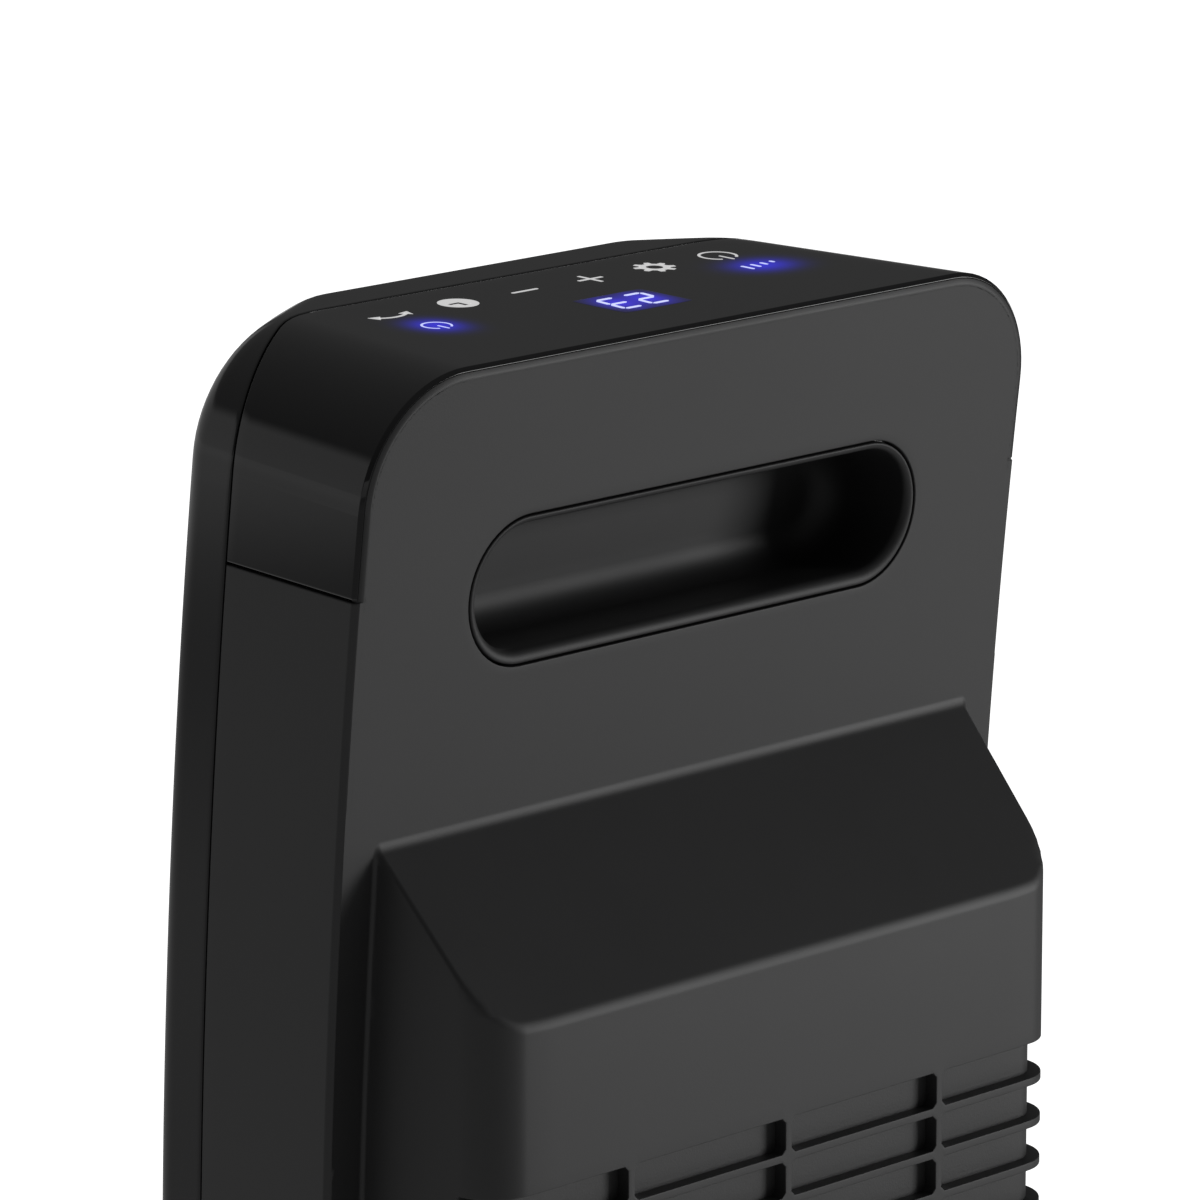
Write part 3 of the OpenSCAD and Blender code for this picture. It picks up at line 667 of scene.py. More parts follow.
def build_upper_panel():
    """Rear panel round the handle: rings of points from the finger opening out to the lip."""
    edge_inset = 2.55
    edge = HANDLE_EDGE_R
    w = HALF_W - edge_inset
    r = CORNER_R - edge_inset
    top = TOP_Z - edge_inset
    outline = [(w, SPLIT_Z), (w, PARTING_Z - GAP / 2), (w, top - r)]
    outline += arc_points(w - r, top - r, r, 0, 90, 24)[1:]
    outline += arc_points(r - w, top - r, r, 90, 180, 24)
    outline += [(-w, PARTING_Z - GAP / 2), (-w, SPLIT_Z)]

    def outer_hit(angle):
        """Where a ray from the handle's middle meets the panel's outline."""
        dx, dz = math.cos(angle), math.sin(angle)
        best = None
        loop = outline + [outline[0]]
        for (x0, z0), (x1, z1) in zip(loop, loop[1:]):
            z0, z1 = z0 - HANDLE_Z, z1 - HANDLE_Z
            ex, ez = x1 - x0, z1 - z0
            det = ex * dz - ez * dx
            if abs(det) < 1e-12:
                continue
            s = (dx * z0 - dz * x0) / det
            reach = (ex * z0 - ez * x0) / det
            if -1e-9 <= s <= 1 + 1e-9 and reach > 0 and (best is None or reach < best):
                best = reach
        return dx * best, dz * best

    angles = [math.atan2(z, x) for x, z in stadium_path(0.0)]
    angles += [math.atan2(z - HANDLE_Z, x) for x, z in outline]
    angles = sorted(set(round(a, 6) for a in angles))
    kept = [angles[0]]
    for a in angles[1:]:
        if a - kept[-1] > 0.004:
            kept.append(a)
    rings = []
    for depth, grow in [(WALL, 0.0), (edge, 0.0), (0.07, 0.07), (0.0, edge)]:
        rings.append([(stadium_point(a, grow), depth) for a in kept])
    n = 14
    for i in range(1, n + 1):
        f = i / n
        ring = []
        for a in kept:
            (x0, z0), (x1, z1) = stadium_point(a, edge), outer_hit(a)
            ring.append(((x0 + (x1 - x0) * f, z0 + (z1 - z0) * f), 0.0))
        rings.append(ring)
    rows = []
    for ring in rings:
        rows.append([(x, float(panel_y(z + HANDLE_Z, t)), z + HANDLE_Z) for (x, z), t in ring])
    return loft("upper_panel", rows, True)


def build_panel_chamfer():
    """Chamfer of the rear panel's edge inside the cap's lip."""
    path = [(s, 0.0) for s in stations_above(PARTING_Z - GAP / 2, 30, 24, 30)]
    rows = []
    for t, inset in PANEL_CHAMFER:
        rows.append(strip(path, t, inset))
    return loft("panel_chamfer", rows, False)


def build_panel_margin():
    """Strips of the rear panel at either side between the upper panel and the side walls' chamfer."""
    verts, faces = [], []
    zs = spread((SPLIT_Z, PARTING_Z - GAP / 2, 2.0))
    for sign in (1, -1):
        base = len(verts)
        for z in zs:
            for x in (HALF_W - 2.6, HALF_W - 1.3):
                verts.append((sign * x, float(panel_y(z)), z))
        faces += [tuple(base + k for k in quad) for quad in grid_faces(len(zs), 2)]
    return new_object("panel_margin", verts, faces)


def build_screen():
    """Screen behind the slats, one smooth sheet round the hump's inside."""
    inset = SLAT_DEPTH - 0.1
    rear_y = 46.5
    xs = mirrored(spread((0, 62, 4.0), (62, 74, 1.0), (74, 81.6, 0.3)))
    zs = spread((SLOT_BOTTOM_Z - 6, SLOT_TOP_Z + 14, 5.0))
    grid_x, grid_z = np.meshgrid(np.array(xs), np.array(zs))
    grid_y = march(grid_x, np.full_like(grid_z, HUMP_MID_Z), lambda x, y, z: hump_distance(x, y, z, inset))
    grid_y = np.maximum(grid_y, rear_y)
    verts = np.stack([grid_x, grid_y, grid_z], axis=-1).reshape(-1, 3).tolist()
    obj = new_object("screen_sheet", verts, grid_faces(len(zs), len(xs)))
    solid = obj.modifiers.new("sheet", "SOLIDIFY")
    solid.thickness = 1.0 * MM
    solid.offset = -1
    return obj


def cup_row(nominal, outwards, grow, t):
    """Points round the cup at a growth of its outline and a depth, each a number or a list of them."""
    out = []
    for j, ((x, z), (nx, nz)) in enumerate(zip(nominal, outwards)):
        g = grow[j] if isinstance(grow, list) else grow
        d = t[j] if isinstance(t, list) else t
        z_here = z + g * nz + HANDLE_Z
        out.append((x + g * nx, float(panel_y(z_here, d)), z_here))
    return out


def fill_hole(obj, depth):
    """Closes a loft whose last row lies at a depth behind the rear panel."""
    mesh = obj.data
    bm = bmesh.new()
    bm.from_mesh(mesh)
    edges = [e for e in bm.edges if e.is_boundary and
             all(abs(v.co.y / MM - float(panel_y(v.co.z / MM, depth))) < 0.2 for v in e.verts)]
    bmesh.ops.contextual_create(bm, geom=edges)
    bm.to_mesh(mesh)
    bm.free()
    for p in mesh.polygons:
        p.use_smooth = True


def build_cup():
    """Finger cup: a rolled rim, upright walls and a floor that turns up into the back wall."""
    depth = 22.6
    floor_r = 7.0
    gap = 0.45
    edge = 0.3
    rim_lift = 0.02
    nominal = stadium_path(0.0)
    outwards = [(x1 - x0, z1 - z0) for (x0, z0), (x1, z1) in zip(nominal, stadium_path(1.0))]
    rim = [1.75 - 0.65 * n[1] for n in outwards]
    wall = -gap - edge - 1.75
    floor_at = depth - floor_r

    def row(grow, t):
        return cup_row(nominal, outwards, grow, t)

    rows = [row(-gap, WALL), row(-gap, 0.35), row(-gap - 0.1, 0.12), row(-gap - edge, rim_lift)]
    for i in range(1, 9):
        a = math.radians(90 * i / 8)
        grow = [-gap - edge - r * math.sin(a) for r in rim]
        rows.append(row(grow, [rim_lift + r * (1 - math.cos(a)) for r in rim]))
    for i in range(1, 7):
        f = i / 6
        grow = [(-gap - edge - r) * (1 - f) + wall * f for r in rim]
        rows.append(row(grow, [(rim_lift + r) * (1 - f) + floor_at * f for r in rim]))
    for i in range(1, 11):
        a = math.radians(90 * i / 10)
        rows.append(row(wall - floor_r * (1 - math.cos(a)), floor_at + floor_r * math.sin(a)))
    inner = wall - floor_r
    c = (HANDLE_L - HANDLE_H) / 2
    last = stadium_path(inner)
    for f in (0.6, 0.2):
        ring = []
        for x, z in last:
            mid = max(-c, min(c, x))
            ring.append((mid + (x - mid) * f, float(panel_y(z * f + HANDLE_Z, depth)), z * f + HANDLE_Z))
        rows.append(ring)
    obj = loft("finger_cup", rows, True)
    fill_hole(obj, depth)
    return obj


# ---------------------------------------------------------------- marks on the touch panel


def on_top(x, y, lift=0.0):
    """A point on the tilted top panel."""
    return (x, y + lift * TILT, top_at(y) + lift)


class Marks:
    """Flat marks on the top panel, gathered into one mesh with a small thickness."""

    sunk = -0.15

    def __init__(self, centre, lift=0.045):
        self.centre = centre
        self.lift = lift
        self.verts = []
        self.faces = []

    def polygon(self, pts):
        """A filled outline, given about the centre."""
        cx, cy = self.centre
        base = len(self.verts)
        n = len(pts)
        for lift in (self.lift, self.sunk):
            for x, y in pts:
                self.verts.append(on_top(cx + x, cy + y, lift))
        self.faces.append(tuple(range(base, base + n)))
        self.faces.append(tuple(range(base + 2 * n - 1, base + n - 1, -1)))
        for i in range(n):
            j = (i + 1) % n
            self.faces.append((base + i, base + n + i, base + n + j, base + j))

    def stroke(self, pts, width):
        """A line of a width with round ends."""
        h = width / 2
        left, right = [], []
        for i, (x, y) in enumerate(pts):
            x0, y0 = pts[max(i - 1, 0)]
            x1, y1 = pts[min(i + 1, len(pts) - 1)]
            d = math.hypot(x1 - x0, y1 - y0)
            nx, ny = -(y1 - y0) / d, (x1 - x0) / d
            left.append((x + nx * h, y + ny * h))
            right.append((x - nx * h, y - ny * h))

        def round_end(p, start):
            a0 = math.degrees(math.atan2(start[1] - p[1], start[0] - p[0]))
            return arc_points(p[0], p[1], h, a0, a0 - 180, 6)[1:-1]

        far_end = round_end(pts[-1], left[-1])
        near_end = round_end(pts[0], right[0])
        self.polygon(left + far_end + right[::-1] + near_end)

    def ring(self, x, y, r_out, r_in, a0=0.0, a1=360.0, n=40):
        """A flat ring or part of one, as quads."""
        cx, cy = self.centre
        outer = arc_points(x, y, r_out, a0, a1, n)
        inner = arc_points(x, y, r_in, a0, a1, n)
        base = len(self.verts)
        m = n + 1
        for lift in (self.lift, self.sunk):
            for ring in (outer, inner):
                for px, py in ring:
                    self.verts.append(on_top(cx + px, cy + py, lift))
        for i in range(n):
            o, q = base + i, base + m + i
            self.faces.append((o, o + 1, q + 1, q))
            self.faces.append((o + 2 * m, q + 2 * m, q + 2 * m + 1, o + 2 * m + 1))
            self.faces.append((o, o + 2 * m, o + 2 * m + 1, o + 1))
            self.faces.append((q, q + 1, q + 2 * m + 1, q + 2 * m))
        if a1 - a0 < 360:
            for i in (0, n):
                o, q = base + i, base + m + i
                self.faces.append((o, q, q + 2 * m, o + 2 * m))

    def build(self, name):
        return new_object(name, self.verts, self.faces, smooth=False)


KEY_Y = 1.0
KEY_PITCH = 18.7
LED_X = 46.5
LED_Y = 13.7
WINDOW_Y = 21.9
WINDOW = (19.5, 15.0)


def power_mark(marks, r, width):
    """Open ring with a bar in its gap."""
    marks.ring(0, 0, r, r - width, 90 + 32, 360 + 90 - 32)
    marks.stroke([(0, r * 0.15), (0, r * 1.05)], width)


def swing_mark(marks):
    """A flat arc with an arrowhead at either end."""
    marks.stroke(arc_points(0, -4.4, 6.2, 124, 56, 14), 0.75)
    for sign in (1, -1):
        tip = (sign * 5.3, -0.9)
        marks.polygon([tip, (sign * 2.5, -0.3), (sign * 4.4, 1.9)][::sign])


def timer_mark(marks):
    """A filled disc with the two hands of a clock left out of it."""
    marks.ring(0, 0, 4.2, 2.6, n=48)
    hand = 0.55
    reach = 2.55
    marks.polygon([(hand, hand)] + arc_points(0, 0, 2.62, 12, 78, 8))
    corner = [(reach, -hand), (-hand, -hand), (-hand, reach)]
    marks.polygon(corner + arc_points(0, 0, 2.62, 102, 348, 26)[1:-1])


def minus_mark(marks):
    marks.stroke([(-3.3, 0), (0, 0), (3.3, 0)], 0.8)


def plus_mark(marks):
    w, l = 0.4, 3.4
    outline = []
    for c, s in ((1, 0), (0, 1), (-1, 0), (0, -1)):
        for x, y in ((w, w), (w, l), (-w, l)):
            outline.append((x * c - y * s, x * s + y * c))
    marks.polygon(outline)


def gear_mark(marks):
    """A ring with eight teeth."""
    marks.ring(0, 0, 3.25, 1.8, n=48)
    tooth = [(3.1, 0.8), (4.5, 0.55), (4.5, -0.55), (3.1, -0.8)]
    for k in range(8):
        a = math.radians(45 * k + 22.5)
        c, s = math.cos(a), math.sin(a)
        marks.polygon([(x * c - y * s, x * s + y * c) for x, y in tooth][::-1])


def level_mark(marks):
    """Four rising bars."""
    for k in range(4):
        x = -4.2 + 2.8 * k
        marks.stroke([(x, -1.6), (x, -0.9 + 0.75 * k)], 0.8)


def digits_mark(marks):
    seven_segment(marks, -3.9, "abged")
    seven_segment(marks, 3.9, "abgcd")


def build_marks():
    """The six touch symbols, the two lamps' symbols and the digits, by piece name."""
    plan = [
        ("key_swing", (2.5 * KEY_PITCH, KEY_Y), swing_mark),
        ("key_timer", (1.5 * KEY_PITCH, KEY_Y), timer_mark),
        ("key_minus", (0.5 * KEY_PITCH, KEY_Y), minus_mark),
        ("key_plus", (-0.5 * KEY_PITCH, KEY_Y), plus_mark),
        ("key_settings", (-1.5 * KEY_PITCH, KEY_Y), gear_mark),
        ("key_power", (-2.5 * KEY_PITCH, KEY_Y), lambda marks: power_mark(marks, 4.2, 0.62)),
        ("lamp_power", (LED_X, LED_Y), lambda marks: power_mark(marks, 3.2, 0.45)),
        ("lamp_level", (-LED_X, LED_Y), level_mark),
    ]
    out = {}
    for name, centre, draw in plan:
        out[name] = Marks(centre)
        draw(out[name])
    out["digits"] = Marks((0, WINDOW_Y), lift=0.1)
    digits_mark(out["digits"])
    return out


def seven_segment(marks, x, segments):
    """One digit of bars: a top, b and c right, d bottom, e and f left, g middle."""
    w, h, bar = 4.7, 9.0, 0.95
    lean = 0.1
    spots = {
        "a": ((-w / 2, h / 2), (w / 2, h / 2)), "g": ((-w / 2, 0), (w / 2, 0)),
        "d": ((-w / 2, -h / 2), (w / 2, -h / 2)), "b": ((w / 2, h / 2), (w / 2, 0)),
        "c": ((w / 2, 0), (w / 2, -h / 2)), "f": ((-w / 2, h / 2), (-w / 2, 0)),
        "e": ((-w / 2, 0), (-w / 2, -h / 2)),
    }
    for key in segments:
        (x0, y0), (x1, y1) = spots[key]
        d = math.hypot(x1 - x0, y1 - y0)
        ux, uy = (x1 - x0) / d, (y1 - y0) / d
        trim = 0.62
        x0, y0, x1, y1 = x0 + ux * trim, y0 + uy * trim, x1 - ux * trim, y1 - uy * trim
        b = bar / 2
        px, py = -uy * b, ux * b
        hexagon = [(x0 - ux * b, y0 - uy * b), (x0 + px, y0 + py), (x1 + px, y1 + py),
                   (x1 + ux * b, y1 + uy * b), (x1 - px, y1 - py), (x0 - px, y0 - py)]
        marks.polygon([(x + hx + hy * lean, hy) for hx, hy in hexagon])


def build_window():
    """Display lens: a rounded plate just proud of the top panel."""
    w, h, r = WINDOW[0] / 2, WINDOW[1] / 2, 0.7

    def outline(shrink):
        pts = []
        for cx, cy, a in ((1, 1, 0), (-1, 1, 90), (-1, -1, 180), (1, -1, 270)):
            pts += arc_points(cx * (w - r), cy * (h - r), max(r - shrink, 0.05), a, a + 90, 6)
        return pts

    rows = []
    for lift, shrink in ((-1.7, 0.05), (-0.05, 0.05), (0.02, 0.1), (0.04, 0.25)):
        rows.append([on_top(x, WINDOW_Y + y, lift) for x, y in outline(shrink)])
    return loft("display_lens", rows, True, smooth=False, cap_ends=True)


# ---------------------------------------------------------------- materials


def shader(name, base, rough, metallic=0.0, specular=0.5):
    """A material with a Principled shader; uniform values sit on the shader's own sockets."""
    mat = bpy.data.materials.new(name)
    mat.use_nodes = True
    bsdf = mat.node_tree.nodes["Principled BSDF"]
    bsdf.inputs["Base Color"].default_value = (*base, 1)
    bsdf.inputs["Roughness"].default_value = rough
    bsdf.inputs["Metallic"].default_value = metallic
    bsdf.inputs["Specular IOR Level"].default_value = specular
    return mat, mat.node_tree, bsdf


def add(tree, kind, **values):
    """A node whose inputs or properties are given by name."""
    node = tree.nodes.new(kind)
    for key, value in values.items():
        if key in node.inputs:
            node.inputs[key].default_value = value
        else:
            setattr(node, key, value)
    return node


def maths(tree, operation, *values):
    """A Math node whose inputs are numbers or other nodes' outputs."""
    node = add(tree, "ShaderNodeMath", operation=operation)
    for socket, value in zip(node.inputs, values):
        if isinstance(value, (int, float)):
            socket.default_value = value
        else:
            tree.links.new(value, socket)
    return node.outputs["Value"]


def rescale(tree, value, from_range, to_range=(0.0, 1.0), smooth=False):
    """Maps a value from one range to another, and stops at its ends."""
    node = add(tree, "ShaderNodeMapRange")
    if smooth:
        node.interpolation_type = "SMOOTHSTEP"
    node.inputs["From Min"].default_value, node.inputs["From Max"].default_value = from_range
    node.inputs["To Min"].default_value, node.inputs["To Max"].default_value = to_range
    tree.links.new(value, node.inputs["Value"])
    return node.outputs["Result"]


def coords(tree, scale=(1, 1, 1)):
    """The object's own coordinates in metres, stretched."""
    tex = tree.nodes.new("ShaderNodeTexCoord")
    mapping = add(tree, "ShaderNodeMapping")
    mapping.inputs["Scale"].default_value = scale
    tree.links.new(tex.outputs["Object"], mapping.inputs["Vector"])
    return mapping.outputs["Vector"]


def mottle(tree, bsdf, base, amount, scale, rough, rough_amount):
    """Small changes of colour and roughness over a surface."""
    vec = coords(tree)
    noise = add(tree, "ShaderNodeTexNoise", Scale=scale, Detail=5.0, Roughness=0.6)
    tree.links.new(vec, noise.inputs["Vector"])
    ramp = tree.nodes.new("ShaderNodeValToRGB")
    ramp.color_ramp.elements[0].position = 0.3
    ramp.color_ramp.elements[1].position = 0.7
    ramp.color_ramp.elements[0].color = (*[c * (1 - amount) for c in base], 1)
    ramp.color_ramp.elements[1].color = (*[c * (1 + amount) for c in base], 1)
    tree.links.new(noise.outputs["Fac"], ramp.inputs["Fac"])
    tree.links.new(ramp.outputs["Color"], bsdf.inputs["Base Color"])
    varied = rescale(tree, noise.outputs["Fac"], (0.0, 1.0), (rough - rough_amount, rough + rough_amount))
    tree.links.new(varied, bsdf.inputs["Roughness"])
    return vec


def grain(tree, bsdf, vec, scale, strength, distance, detail=3.0):
    """Fine bump of a moulded texture."""
    noise = add(tree, "ShaderNodeTexNoise", Scale=scale, Detail=detail, Roughness=0.65)
    tree.links.new(vec, noise.inputs["Vector"])
    bump = add(tree, "ShaderNodeBump", Strength=strength, Distance=distance)
    tree.links.new(noise.outputs["Fac"], bump.inputs["Height"])
    tree.links.new(bump.outputs["Normal"], bsdf.inputs["Normal"])


def moulded(name, base, rough, spark=0.25):
    """Matt moulded plastic with a fine spark-eroded grain."""
    mat, tree, bsdf = shader(name, base, rough)
    vec = mottle(tree, bsdf, base, 0.08, 18.0, rough, 0.04)
    grain(tree, bsdf, vec, 2600.0, spark, 0.00006)
    return mat


def glossy(name, base, rough, peel=0.05, haze=0.02):
    """Polished plastic with a faint ripple and the haze of handling."""
    mat, tree, bsdf = shader(name, base, rough)
    vec = mottle(tree, bsdf, base, 0.06, 9.0, rough, haze)
    grain(tree, bsdf, vec, 110.0, peel, 0.00008, detail=1.0)
    return mat


def metal(name, base, rough, stretch=(1, 1, 1)):
    """Bare metal with a grain that may be drawn out along an axis."""
    mat, tree, bsdf = shader(name, base, rough, metallic=1.0)
    mottle(tree, bsdf, base, 0.08, 40.0, rough, 0.06)
    grain(tree, bsdf, coords(tree, stretch), 900.0, 0.2, 0.00005)
    return mat


def printed(name, base, glow=0.0, tint=(1, 1, 1)):
    """Ink or a lit mark, with the slight unevenness of a screen print; glow adds emission, which on plain ink
    is a painted glow.
    """
    mat, tree, bsdf = shader(name, base, 0.45)
    mottle(tree, bsdf, base, 0.05, 900.0, 0.45, 0.05)
    if glow:
        bsdf.inputs["Emission Color"].default_value = (*tint, 1)
        bsdf.inputs["Emission Strength"].default_value = glow
    return mat


def glow(mat, tint, spots):
    """Light that soaks through a panel round each lamp: (x, y, rx, ry, strength) in mm."""
    tree = mat.node_tree
    bsdf = tree.nodes["Principled BSDF"]
    tex = add(tree, "ShaderNodeTexCoord")
    split = add(tree, "ShaderNodeSeparateXYZ")
    tree.links.new(tex.outputs["Object"], split.inputs["Vector"])
    total = 0.0
    for x, y, rx, ry, strength in spots:
        dx = maths(tree, "DIVIDE", maths(tree, "SUBTRACT", split.outputs["X"], x * MM), rx * MM)
        dy = maths(tree, "DIVIDE", maths(tree, "SUBTRACT", split.outputs["Y"], y * MM), ry * MM)
        square = maths(tree, "ADD", maths(tree, "MULTIPLY", dx, dx), maths(tree, "MULTIPLY", dy, dy))
        fall = maths(tree, "POWER", math.e, maths(tree, "MULTIPLY", square, -1.0))
        total = maths(tree, "ADD", total, maths(tree, "MULTIPLY", fall, strength))
    bsdf.inputs["Emission Color"].default_value = (*tint, 1)
    tree.links.new(total, bsdf.inputs["Emission Strength"])
    return mat


def cap_material():
    """Gloss black, lit blue round the two lamps."""
    mat = glossy("cap_gloss", (0.0055, 0.0055, 0.006), 0.06, peel=0.04, haze=0.015)
    spots = [(LED_X, LED_Y, 4.4, 5.2, 0.66), (-LED_X, LED_Y, 6.4, 5.0, 0.62)]
    return glow(mat, (0.03, 0.025, 0.9), spots)


def window_material():
    """Smoked lens, lit blue round the digits."""
    base = (0.008, 0.006, 0.03)
    mat, tree, bsdf = shader("smoked_lens", base, 0.15)
    mottle(tree, bsdf, base, 0.05, 60.0, 0.15, 0.02)
    spots = [(x, WINDOW_Y, 3.8, 5.6, 0.55) for x in (-4.0, 4.0)] + [(0.0, WINDOW_Y, 9.0, 7.0, 0.12)]
    return glow(mat, (0.05, 0.035, 0.95), spots)


# Every finish of the object, by a short name
MAT = {
    "bezel": glossy("bezel_satin", (0.0155, 0.0155, 0.016), 0.1, peel=0.04),
    "housing": moulded("housing_matt", (0.022, 0.022, 0.0225), 0.5),
    "cap": cap_material(),
    "cup": moulded("cup_matt", (0.014, 0.014, 0.0145), 0.54),
    "screen": moulded("screen_mesh", (0.028, 0.028, 0.0285), 0.5, spark=0.5),
    "window": window_material(),
    # The key ink gets a white emission of 0.5: a painted glow, since the printed key symbols have no lamp of
    # their own.
    "ink_painted_glow": printed("key_ink_painted_glow", (0.62, 0.62, 0.62), 0.5),
    "lit": printed("lit_mark", (0.5, 0.5, 0.6), 1.0, (0.55, 0.6, 1.0)),
    "digit": printed("lit_digit", (0.5, 0.5, 0.6), 1.0, (0.6, 0.65, 1.0)),
    "base": moulded("base_satin", (0.014, 0.014, 0.0145), 0.36),
    "grille": moulded("grille_matt", (0.014, 0.014, 0.0145), 0.5),
    "rubber": moulded("rubber_black", (0.012, 0.012, 0.012), 0.75, spark=0.6),
    "polymer": moulded("natural_polymer", (0.62, 0.6, 0.54), 0.45),
    "wheel": moulded("wheel_polymer", (0.03, 0.03, 0.033), 0.42),
    "steel": metal("plated_steel", (0.58, 0.58, 0.6), 0.34, (1, 1, 14)),
    "bronze": metal("sintered_bronze", (0.66, 0.46, 0.2), 0.4),
    "fins": metal("bare_aluminium", (0.76, 0.76, 0.77), 0.3, (14, 1, 1)),
    "iron": metal("cast_iron", (0.2, 0.2, 0.21), 0.6),
    "board": glossy("solder_mask", (0.015, 0.1, 0.04), 0.3),
    "switch": glossy("switch_black", (0.012, 0.012, 0.012), 0.25),
    "red": moulded("plunger_red", (0.45, 0.04, 0.03), 0.4),
    "epoxy": glossy("white_epoxy", (0.7, 0.7, 0.74), 0.25),
}

# The CAD nodes that each material covers
NODES_OF = {
    "bezel": ["front_bezel"],
    "grille": ["outlet_grille"],
    "housing": ["rear_housing"],
    "cap": ["control_cap"],
    "window": ["display_window"],
    "epoxy": ["display_module"],
    "board": ["touch_board", "power_board"],
    "cup": ["handle_cup"],
    "screen": ["intake_screen"],
    "wheel": ["impeller"],
    "bronze": ["bearing_bush"],
    "fins": ["heater_element", "thermal_cutout"],
    "iron": ["base_weight"],
    "red": ["tip_plunger"],
    "base": ["swivel_neck", "base_cover", "base_plate"],
    "switch": ["rocker_housing", "power_rocker", "tip_switch"],
    "rubber": ["bearing_rubber", "motor_mounts", "wiring", "rubber_feet", "cord_gland"],
    "polymer": ["scroll_casing", "heater_frame", "sector_gear", "swivel_bearing", "oscillation_pinion"],
    "steel": [
        "impeller_shaft", "fan_motor", "swivel_post", "retaining_ring", "oscillation_motor",
        "housing_screws", "board_screws", "base_screws",
    ],
}
for finish, node_names in NODES_OF.items():
    for node_name in node_names:
        nodes[node_name].data.materials.clear()
        nodes[node_name].data.materials.append(MAT[finish])

# ---------------------------------------------------------------- pieces

even_shading(place(build_cap(), MAT["cap"]))
even_shading(place(build_bezel(), MAT["bezel"]))
for shell in (build_sides(), build_back(), build_upper_panel(), build_panel_chamfer(), build_panel_margin()):
    even_shading(place(shell, MAT["housing"]))
place(build_cup(), MAT["cup"])
place(build_screen(), MAT["screen"])
place(build_window(), MAT["window"])
for mark_name, marks in build_marks().items():
    finish = "ink_painted_glow" if mark_name.startswith("key") else "digit" if mark_name == "digits" else "lit"
    place(marks.build(mark_name), MAT[finish])

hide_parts("control_cap")
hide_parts("front_bezel")
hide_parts("rear_housing")
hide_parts("handle_cup")
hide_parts("intake_screen")
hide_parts("display_window")

# ---------------------------------------------------------------- floor, light and camera

# What the floor throws back at the object, as (distance from the object in m, radiance)
FLOOR_LEVELS = [
    (0.0, 0.42), (0.95, 0.42), (1.2, 0.2), (1.65, 0.22), (2.15, 0.14),
    (2.42, 0.15), (2.72, 0.36), (3.6, 0.36), (6.0, 0.42),
]
FLOOR_REACH = FLOOR_LEVELS[-1][0]
FLOOR_SIZE = 14.0
SKY_LEVELS = (0.085, 0.15)
CARD_LEVEL = 0.27


def floor_radiance(tree):
    """Light that the floor throws back, by the distance from the object."""
    tex = add(tree, "ShaderNodeTexCoord")
    length = add(tree, "ShaderNodeVectorMath", operation="LENGTH")
    tree.links.new(tex.outputs["Object"], length.inputs[0])
    ramp = add(tree, "ShaderNodeValToRGB")
    tree.links.new(rescale(tree, length.outputs["Value"], (0.0, FLOOR_REACH)), ramp.inputs["Fac"])
    stops = ramp.color_ramp.elements
    for radius, level in FLOOR_LEVELS[1:-1]:
        stops.new(radius / FLOOR_REACH).color = (level, level, level, 1)
    for stop, (_, level) in ((stops[0], FLOOR_LEVELS[0]), (stops[-1], FLOOR_LEVELS[-1])):
        stop.color = (level, level, level, 1)
    return ramp.outputs["Color"]


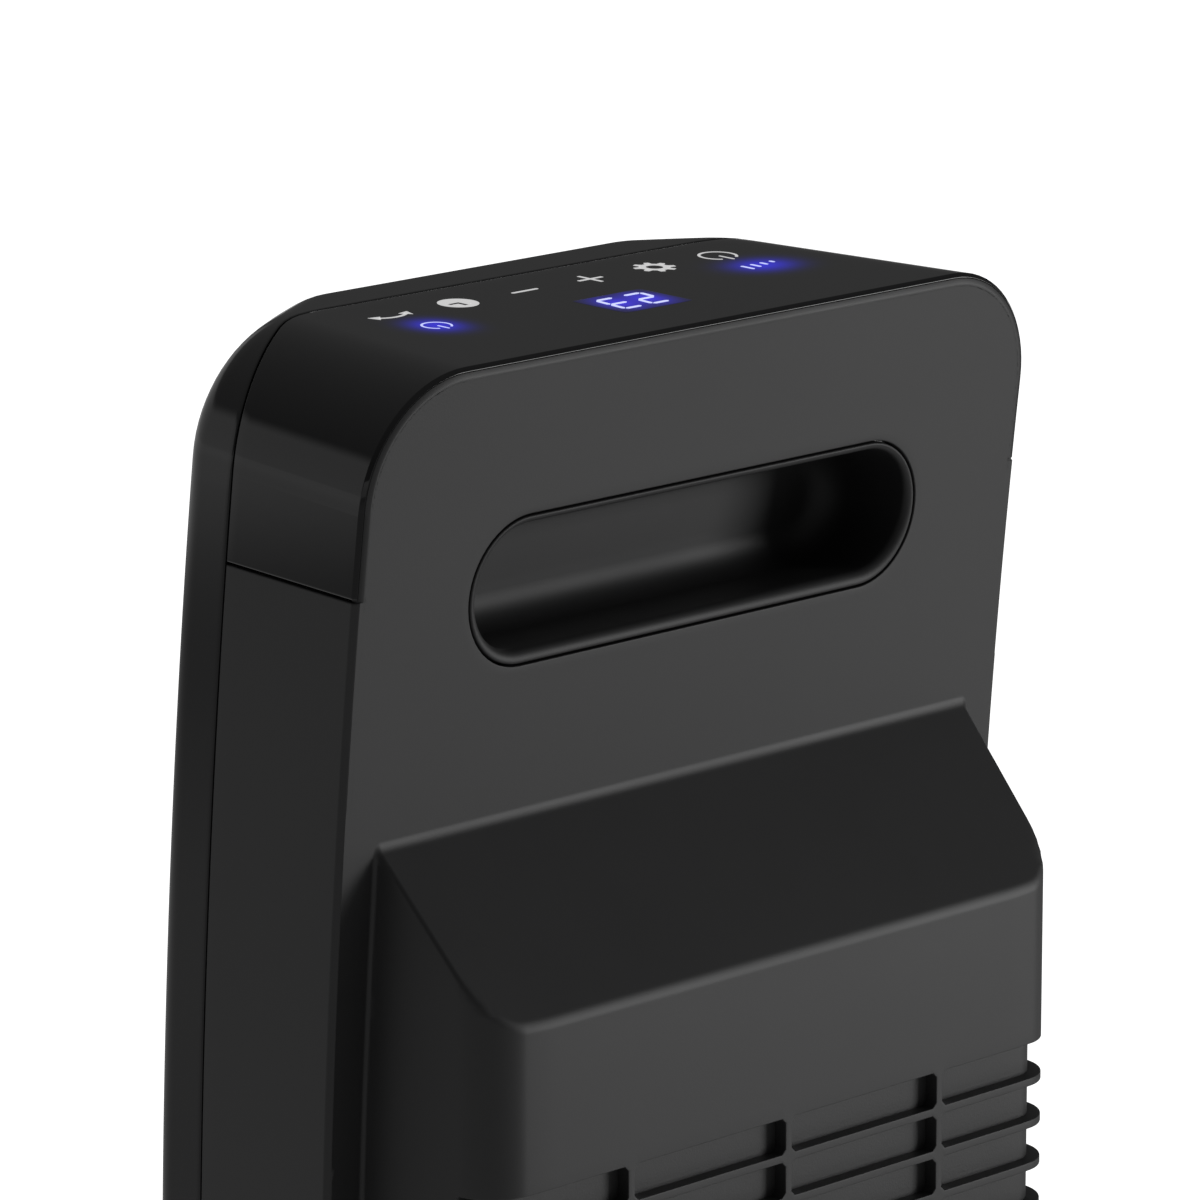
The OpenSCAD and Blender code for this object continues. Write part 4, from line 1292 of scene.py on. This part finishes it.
def floor():
    """Pale floor. What it throws back at the object is dimmer than what the camera sees of it."""
    e = FLOOR_SIZE
    mesh = bpy.data.meshes.new("floor")
    mesh.from_pydata([(-e, -e, 0), (e, -e, 0), (e, e, 0), (-e, e, 0)], [], [(0, 1, 2, 3)])
    obj = bpy.data.objects.new("floor", mesh)
    bpy.context.scene.collection.objects.link(obj)
    mat, tree, bsdf = shader("floor_paper", (0.8, 0.8, 0.8), 0.9, specular=0.0)
    bsdf.inputs["Emission Color"].default_value = (1, 1, 1, 1)
    bsdf.inputs["Emission Strength"].default_value = 1.1
    bounce = add(tree, "ShaderNodeEmission", Strength=1.0)
    tree.links.new(floor_radiance(tree), bounce.inputs["Color"])
    path = add(tree, "ShaderNodeLightPath")
    mix = add(tree, "ShaderNodeMixShader")
    tree.links.new(path.outputs["Is Camera Ray"], mix.inputs[0])
    tree.links.new(bounce.outputs[0], mix.inputs[1])
    tree.links.new(bsdf.outputs[0], mix.inputs[2])
    tree.links.new(mix.outputs[0], tree.nodes["Material Output"].inputs["Surface"])
    obj.data.materials.append(mat)


def area_light(name, location, target, size, power):
    """A rectangular soft light that faces a target."""
    data = bpy.data.lights.new(name, "AREA")
    data.shape = "RECTANGLE"
    data.size, data.size_y = size
    data.energy = power
    obj = bpy.data.objects.new(name, data)
    obj.location = location
    obj.rotation_euler = (Vector(target) - Vector(location)).to_track_quat("-Z", "Y").to_euler()
    bpy.context.scene.collection.objects.link(obj)


def studio():
    """Dim sky that brightens upwards, with a low pale card in front and to the +X side."""
    world = bpy.data.worlds.new("studio")
    world.use_nodes = True
    tree = world.node_tree
    tex = add(tree, "ShaderNodeTexCoord")
    split = add(tree, "ShaderNodeSeparateXYZ")
    tree.links.new(tex.outputs["Generated"], split.inputs["Vector"])
    sky = rescale(tree, split.outputs["Z"], (0.2, 0.8), SKY_LEVELS)
    card_top = rescale(tree, split.outputs["Z"], (0.34, 0.24), smooth=True)
    card_front = rescale(tree, split.outputs["Y"], (-0.2, -0.6), smooth=True)
    card_end = rescale(tree, split.outputs["X"], (-0.58, -0.44), smooth=True)
    card = maths(tree, "MULTIPLY", maths(tree, "MULTIPLY", card_top, card_front), card_end)
    background = tree.nodes["Background"]
    background.inputs["Color"].default_value = (1, 1, 1, 1)
    tree.links.new(maths(tree, "MULTIPLY_ADD", card, CARD_LEVEL, sky), background.inputs["Strength"])
    bpy.context.scene.world = world
    bpy.context.scene.view_settings.view_transform = "Standard"


def photo_camera():
    """Camera at the photograph's angle."""
    data = bpy.data.cameras.new("camera")
    data.sensor_width = 36.0
    data.lens = 222.53
    data.clip_end = 100.0
    camera = bpy.data.objects.new("camera", data)
    camera.location = (1.0431, 1.0289, 0.7963)
    camera.rotation_euler = Vector((-0.69868, -0.68056, -0.22065)).to_track_quat("-Z", "Y").to_euler()
    bpy.context.scene.collection.objects.link(camera)
    bpy.context.scene.camera = camera


floor()
area_light("key", (-1.17, 1.13, 0.5), (0, 0.04, 0.45), (0.56, 0.85), 9.9)
studio()
photo_camera()
